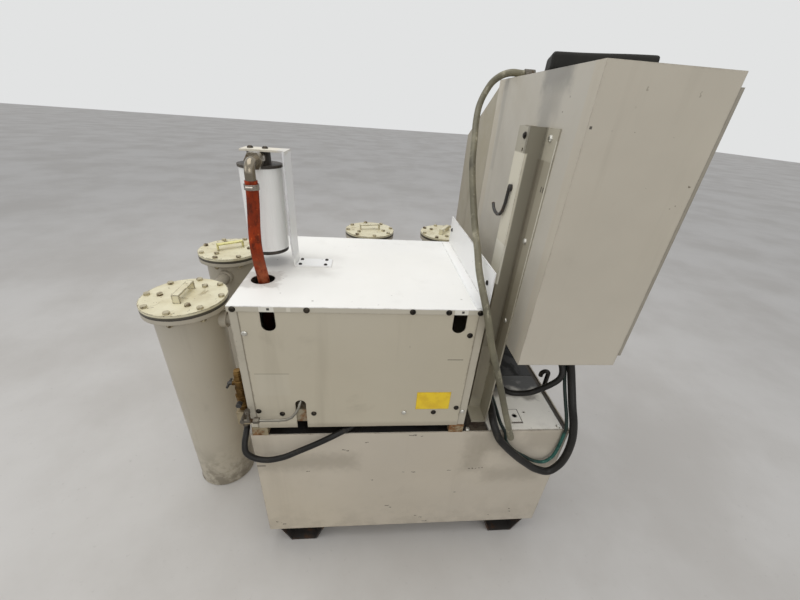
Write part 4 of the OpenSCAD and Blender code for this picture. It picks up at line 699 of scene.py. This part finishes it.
paints["switch_knob"] = plastic("switch_red", rgb(170, 34, 28), 0.3, 700, 0.08)
paints["filter_bags"] = felt()

for name, mat in paints.items():
    for holder in cad[name].material_slots:
        holder.material = mat

hoses["red_hose"].data.materials.append(red_rubber())
black_rubber = rubber_hose("black_rubber", rgb(36, 34, 31), rgb(96, 90, 80), 0.26, 0.38, 10)
for name in ("loop_hose", "link_hose", "drain_hose"):
    hoses[name].data.materials.append(black_rubber)
teal = rubber_hose("teal_cover", rgb(44, 92, 82), rgb(120, 150, 136), 0.45, 0.40, 24, patches=teal_marks)
hoses["earth_cable"].data.materials.append(teal)
conduit = rubber_hose("conduit_cover", rgb(124, 119, 99), rgb(184, 178, 156), 0.70, 0.38, 9,
                      dark=rgb(58, 54, 44))
hoses["conduit_hose"].data.materials.append(conduit)
bpy.data.objects["conduit_tip"].data.materials.append(conduit)


# Rubber slab on the enclosure, turned and with a worn, slightly bent top; its wear is in metres
pad_size = Vector((0.220, 0.120, 0.038))
pad_turn = math.radians(-18)
pad_sag = 0.003
pad_bulge = 0.0015
pad_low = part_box("top_pad")[0]
pad = slab("top_slab", Vector((0, 0, 0)), pad_size, 9)
for v in pad.data.vertices:
    worn = 0.5 + 0.5 * noise.noise(v.co * 9 + Vector((3, 5, 7)))
    if v.co.z > pad_size.z / 2:
        v.co.z -= pad_sag * worn
    v.co.x = min(max(v.co.x + pad_bulge * noise.noise(v.co * 23), 0), pad_size.x)
    x = v.co.x * math.cos(pad_turn) - v.co.y * math.sin(pad_turn)
    y = v.co.x * math.sin(pad_turn) + v.co.y * math.cos(pad_turn) - pad_size.x * math.sin(pad_turn)
    v.co = pad_low + Vector((x, y, v.co.z))
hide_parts("top_pad")
pad.data.materials.append(plastic("slab_rubber", rgb(24, 23, 18), 0.8, 160, 0.14, rgb(58, 54, 44), 0.6))

# Collars and threads of the brass stack: radius, bottom and top above the stack's foot in mm
collars = ((17.2, 14, 20), (17.2, 48, 52.5), (14.5, 75, 80), (14.2, 102, 107.5), (10.6, 125, 129),
           (10.6, 132, 136))
collar_edge = 0.001
low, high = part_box("relief_valve")
stack_r = 0.016
stack_foot = Vector((high.x - stack_r, high.y - stack_r, low.z))
for i, numbers in enumerate(collars, 1):
    r, bottom, top = (n / 1000 for n in numbers)
    rows = [(0.85 * r, bottom), (r, bottom + collar_edge), (r, top - collar_edge), (0.85 * r, top)]
    mesh = lathe(f"valve_collar_{i}", rows, stack_foot, sides=20)
    collar = add(f"valve_collar_{i}", mesh, "unit")
    collar.data.materials.append(paints["relief_valve"])


def plate_paint():
    """Yellow enamel, rubbed along its edges."""
    p = Paint("yellow_plate", coat=0.3)
    face = p.mix(p.span(p.noise(30, 5, 0.6), 0.4, 0.66), rgb(240, 204, 20), rgb(226, 186, 16))
    worn = p.math("MULTIPLY", p.span(p.edges(0.003), 0.02, 0.12), 0.5)
    return p.finish(p.mix(worn, face, rgb(160, 132, 40)), 0.38, p.noise(300, 2), 0.06, 0.0003, 0)


# Blank yellow plate on the front panel
plate = slab("yellow_plate", at(497, -0.9, 707), at(599, 0.0, 775), 2)
plate.data.materials.append(plate_paint())


def bead(name, centre, radius, mat):
    """Weld bead round a circle: a small rippled ring."""
    steps = 160
    sides = 6
    thick = 0.0028
    verts = []
    faces = []
    for i in range(steps):
        a = 2 * math.pi * i / steps
        uneven = noise.noise(Vector((i * 0.7, radius * 9, 1)))
        ripple = thick * (1 + 0.22 * math.sin(i * 2.1) + 0.2 * uneven)
        for b in circle(sides):
            r = radius + ripple * math.cos(b)
            verts.append(centre + Vector((r * math.cos(a), r * math.sin(a), ripple * math.sin(b))))
    for i in range(steps):
        j = (i + 1) % steps
        for k in range(sides):
            n = (k + 1) % sides
            faces.append([i * sides + k, j * sides + k, j * sides + n, i * sides + n])
    piece = add(name, mesh_of(name, verts, faces), "unit")
    piece.data.materials.append(mat)


# Weld beads under each canister's flange and at its foot
for i, (x, y) in enumerate(canisters, 1):
    can = f"canister_{i}"
    bead(f"{can}_flange_weld", at(x, y, 854), 0.1105, paints[can])
    bead(f"{can}_foot_weld", at(x, y, 4), 0.1095, paints[can])


# Floor, light and background
bm = bmesh.new()
bmesh.ops.create_grid(bm, x_segments=8, y_segments=8, size=30)
mesh = bpy.data.meshes.new("floor")
bm.to_mesh(mesh)
bm.free()
floor = add("floor", mesh, None, False)
floor.location = (0, 0, -0.0005)


def floor_paint():
    """Plain pale concrete."""
    p = Paint("floor")
    cloud = p.mix(p.span(p.noise(0.9, 6, 0.6), 0.35, 0.68), rgb(206, 203, 197), rgb(192, 188, 181))
    speck = p.span(p.noise(38, 5, 0.7), 0.60, 0.74, 0, 0.25)
    return p.finish(p.mix(speck, cloud, rgb(150, 145, 136)), 0.7, p.noise(90, 4), 0.05, 0.001, 0)


floor.data.materials.append(floor_paint())


def lamp(name, place, aim, size, energy, colour):
    """A soft rectangular light that points at aim."""
    data = bpy.data.lights.new(name, "AREA")
    data.shape = "RECTANGLE"
    data.size = size[0]
    data.size_y = size[1]
    data.energy = energy
    data.color = colour
    lamp_object = bpy.data.objects.new(name, data)
    bpy.context.scene.collection.objects.link(lamp_object)
    lamp_object.location = place
    lamp_object.rotation_euler = (Vector(aim) - Vector(place)).to_track_quat("-Z", "Y").to_euler()


lamp("top_light", (-0.6, -0.2, 4.4), (0, 0, 0.6), (3.6, 3.0), 62, (1.0, 0.985, 0.96))
lamp("front_light", (0.8, -4.2, 2.8), (0.2, 0, 0.8), (3.0, 2.0), 26, (1.0, 0.99, 0.97))
lamp("left_light", (-4.0, -1.4, 2.6), (0, 0, 0.8), (2.4, 2.0), 16, (0.98, 0.99, 1.0))

# Even light from all round; the camera and reflections see a paler backdrop
world = bpy.data.worlds.new("world")
bpy.context.scene.world = world
world.use_nodes = True
tree = world.node_tree
tree.nodes.clear()
out = tree.nodes.new("ShaderNodeOutputWorld")
plain = tree.nodes.new("ShaderNodeBackground")
plain.inputs[0].default_value = (0.92, 0.94, 1.0, 1)
plain.inputs[1].default_value = 0.60
seen = tree.nodes.new("ShaderNodeBackground")
seen.inputs[0].default_value = rgb(226, 227, 227)
seen.inputs[1].default_value = 1.0
path = tree.nodes.new("ShaderNodeLightPath")
either = tree.nodes.new("ShaderNodeMath")
either.operation = "MAXIMUM"
tree.links.new(path.outputs["Is Camera Ray"], either.inputs[0])
tree.links.new(path.outputs["Is Glossy Ray"], either.inputs[1])
blend = tree.nodes.new("ShaderNodeMixShader")
tree.links.new(either.outputs[0], blend.inputs[0])
tree.links.new(plain.outputs[0], blend.inputs[1])
tree.links.new(seen.outputs[0], blend.inputs[2])
tree.links.new(blend.outputs[0], out.inputs[0])

bpy.context.scene.view_settings.view_transform = "Standard"
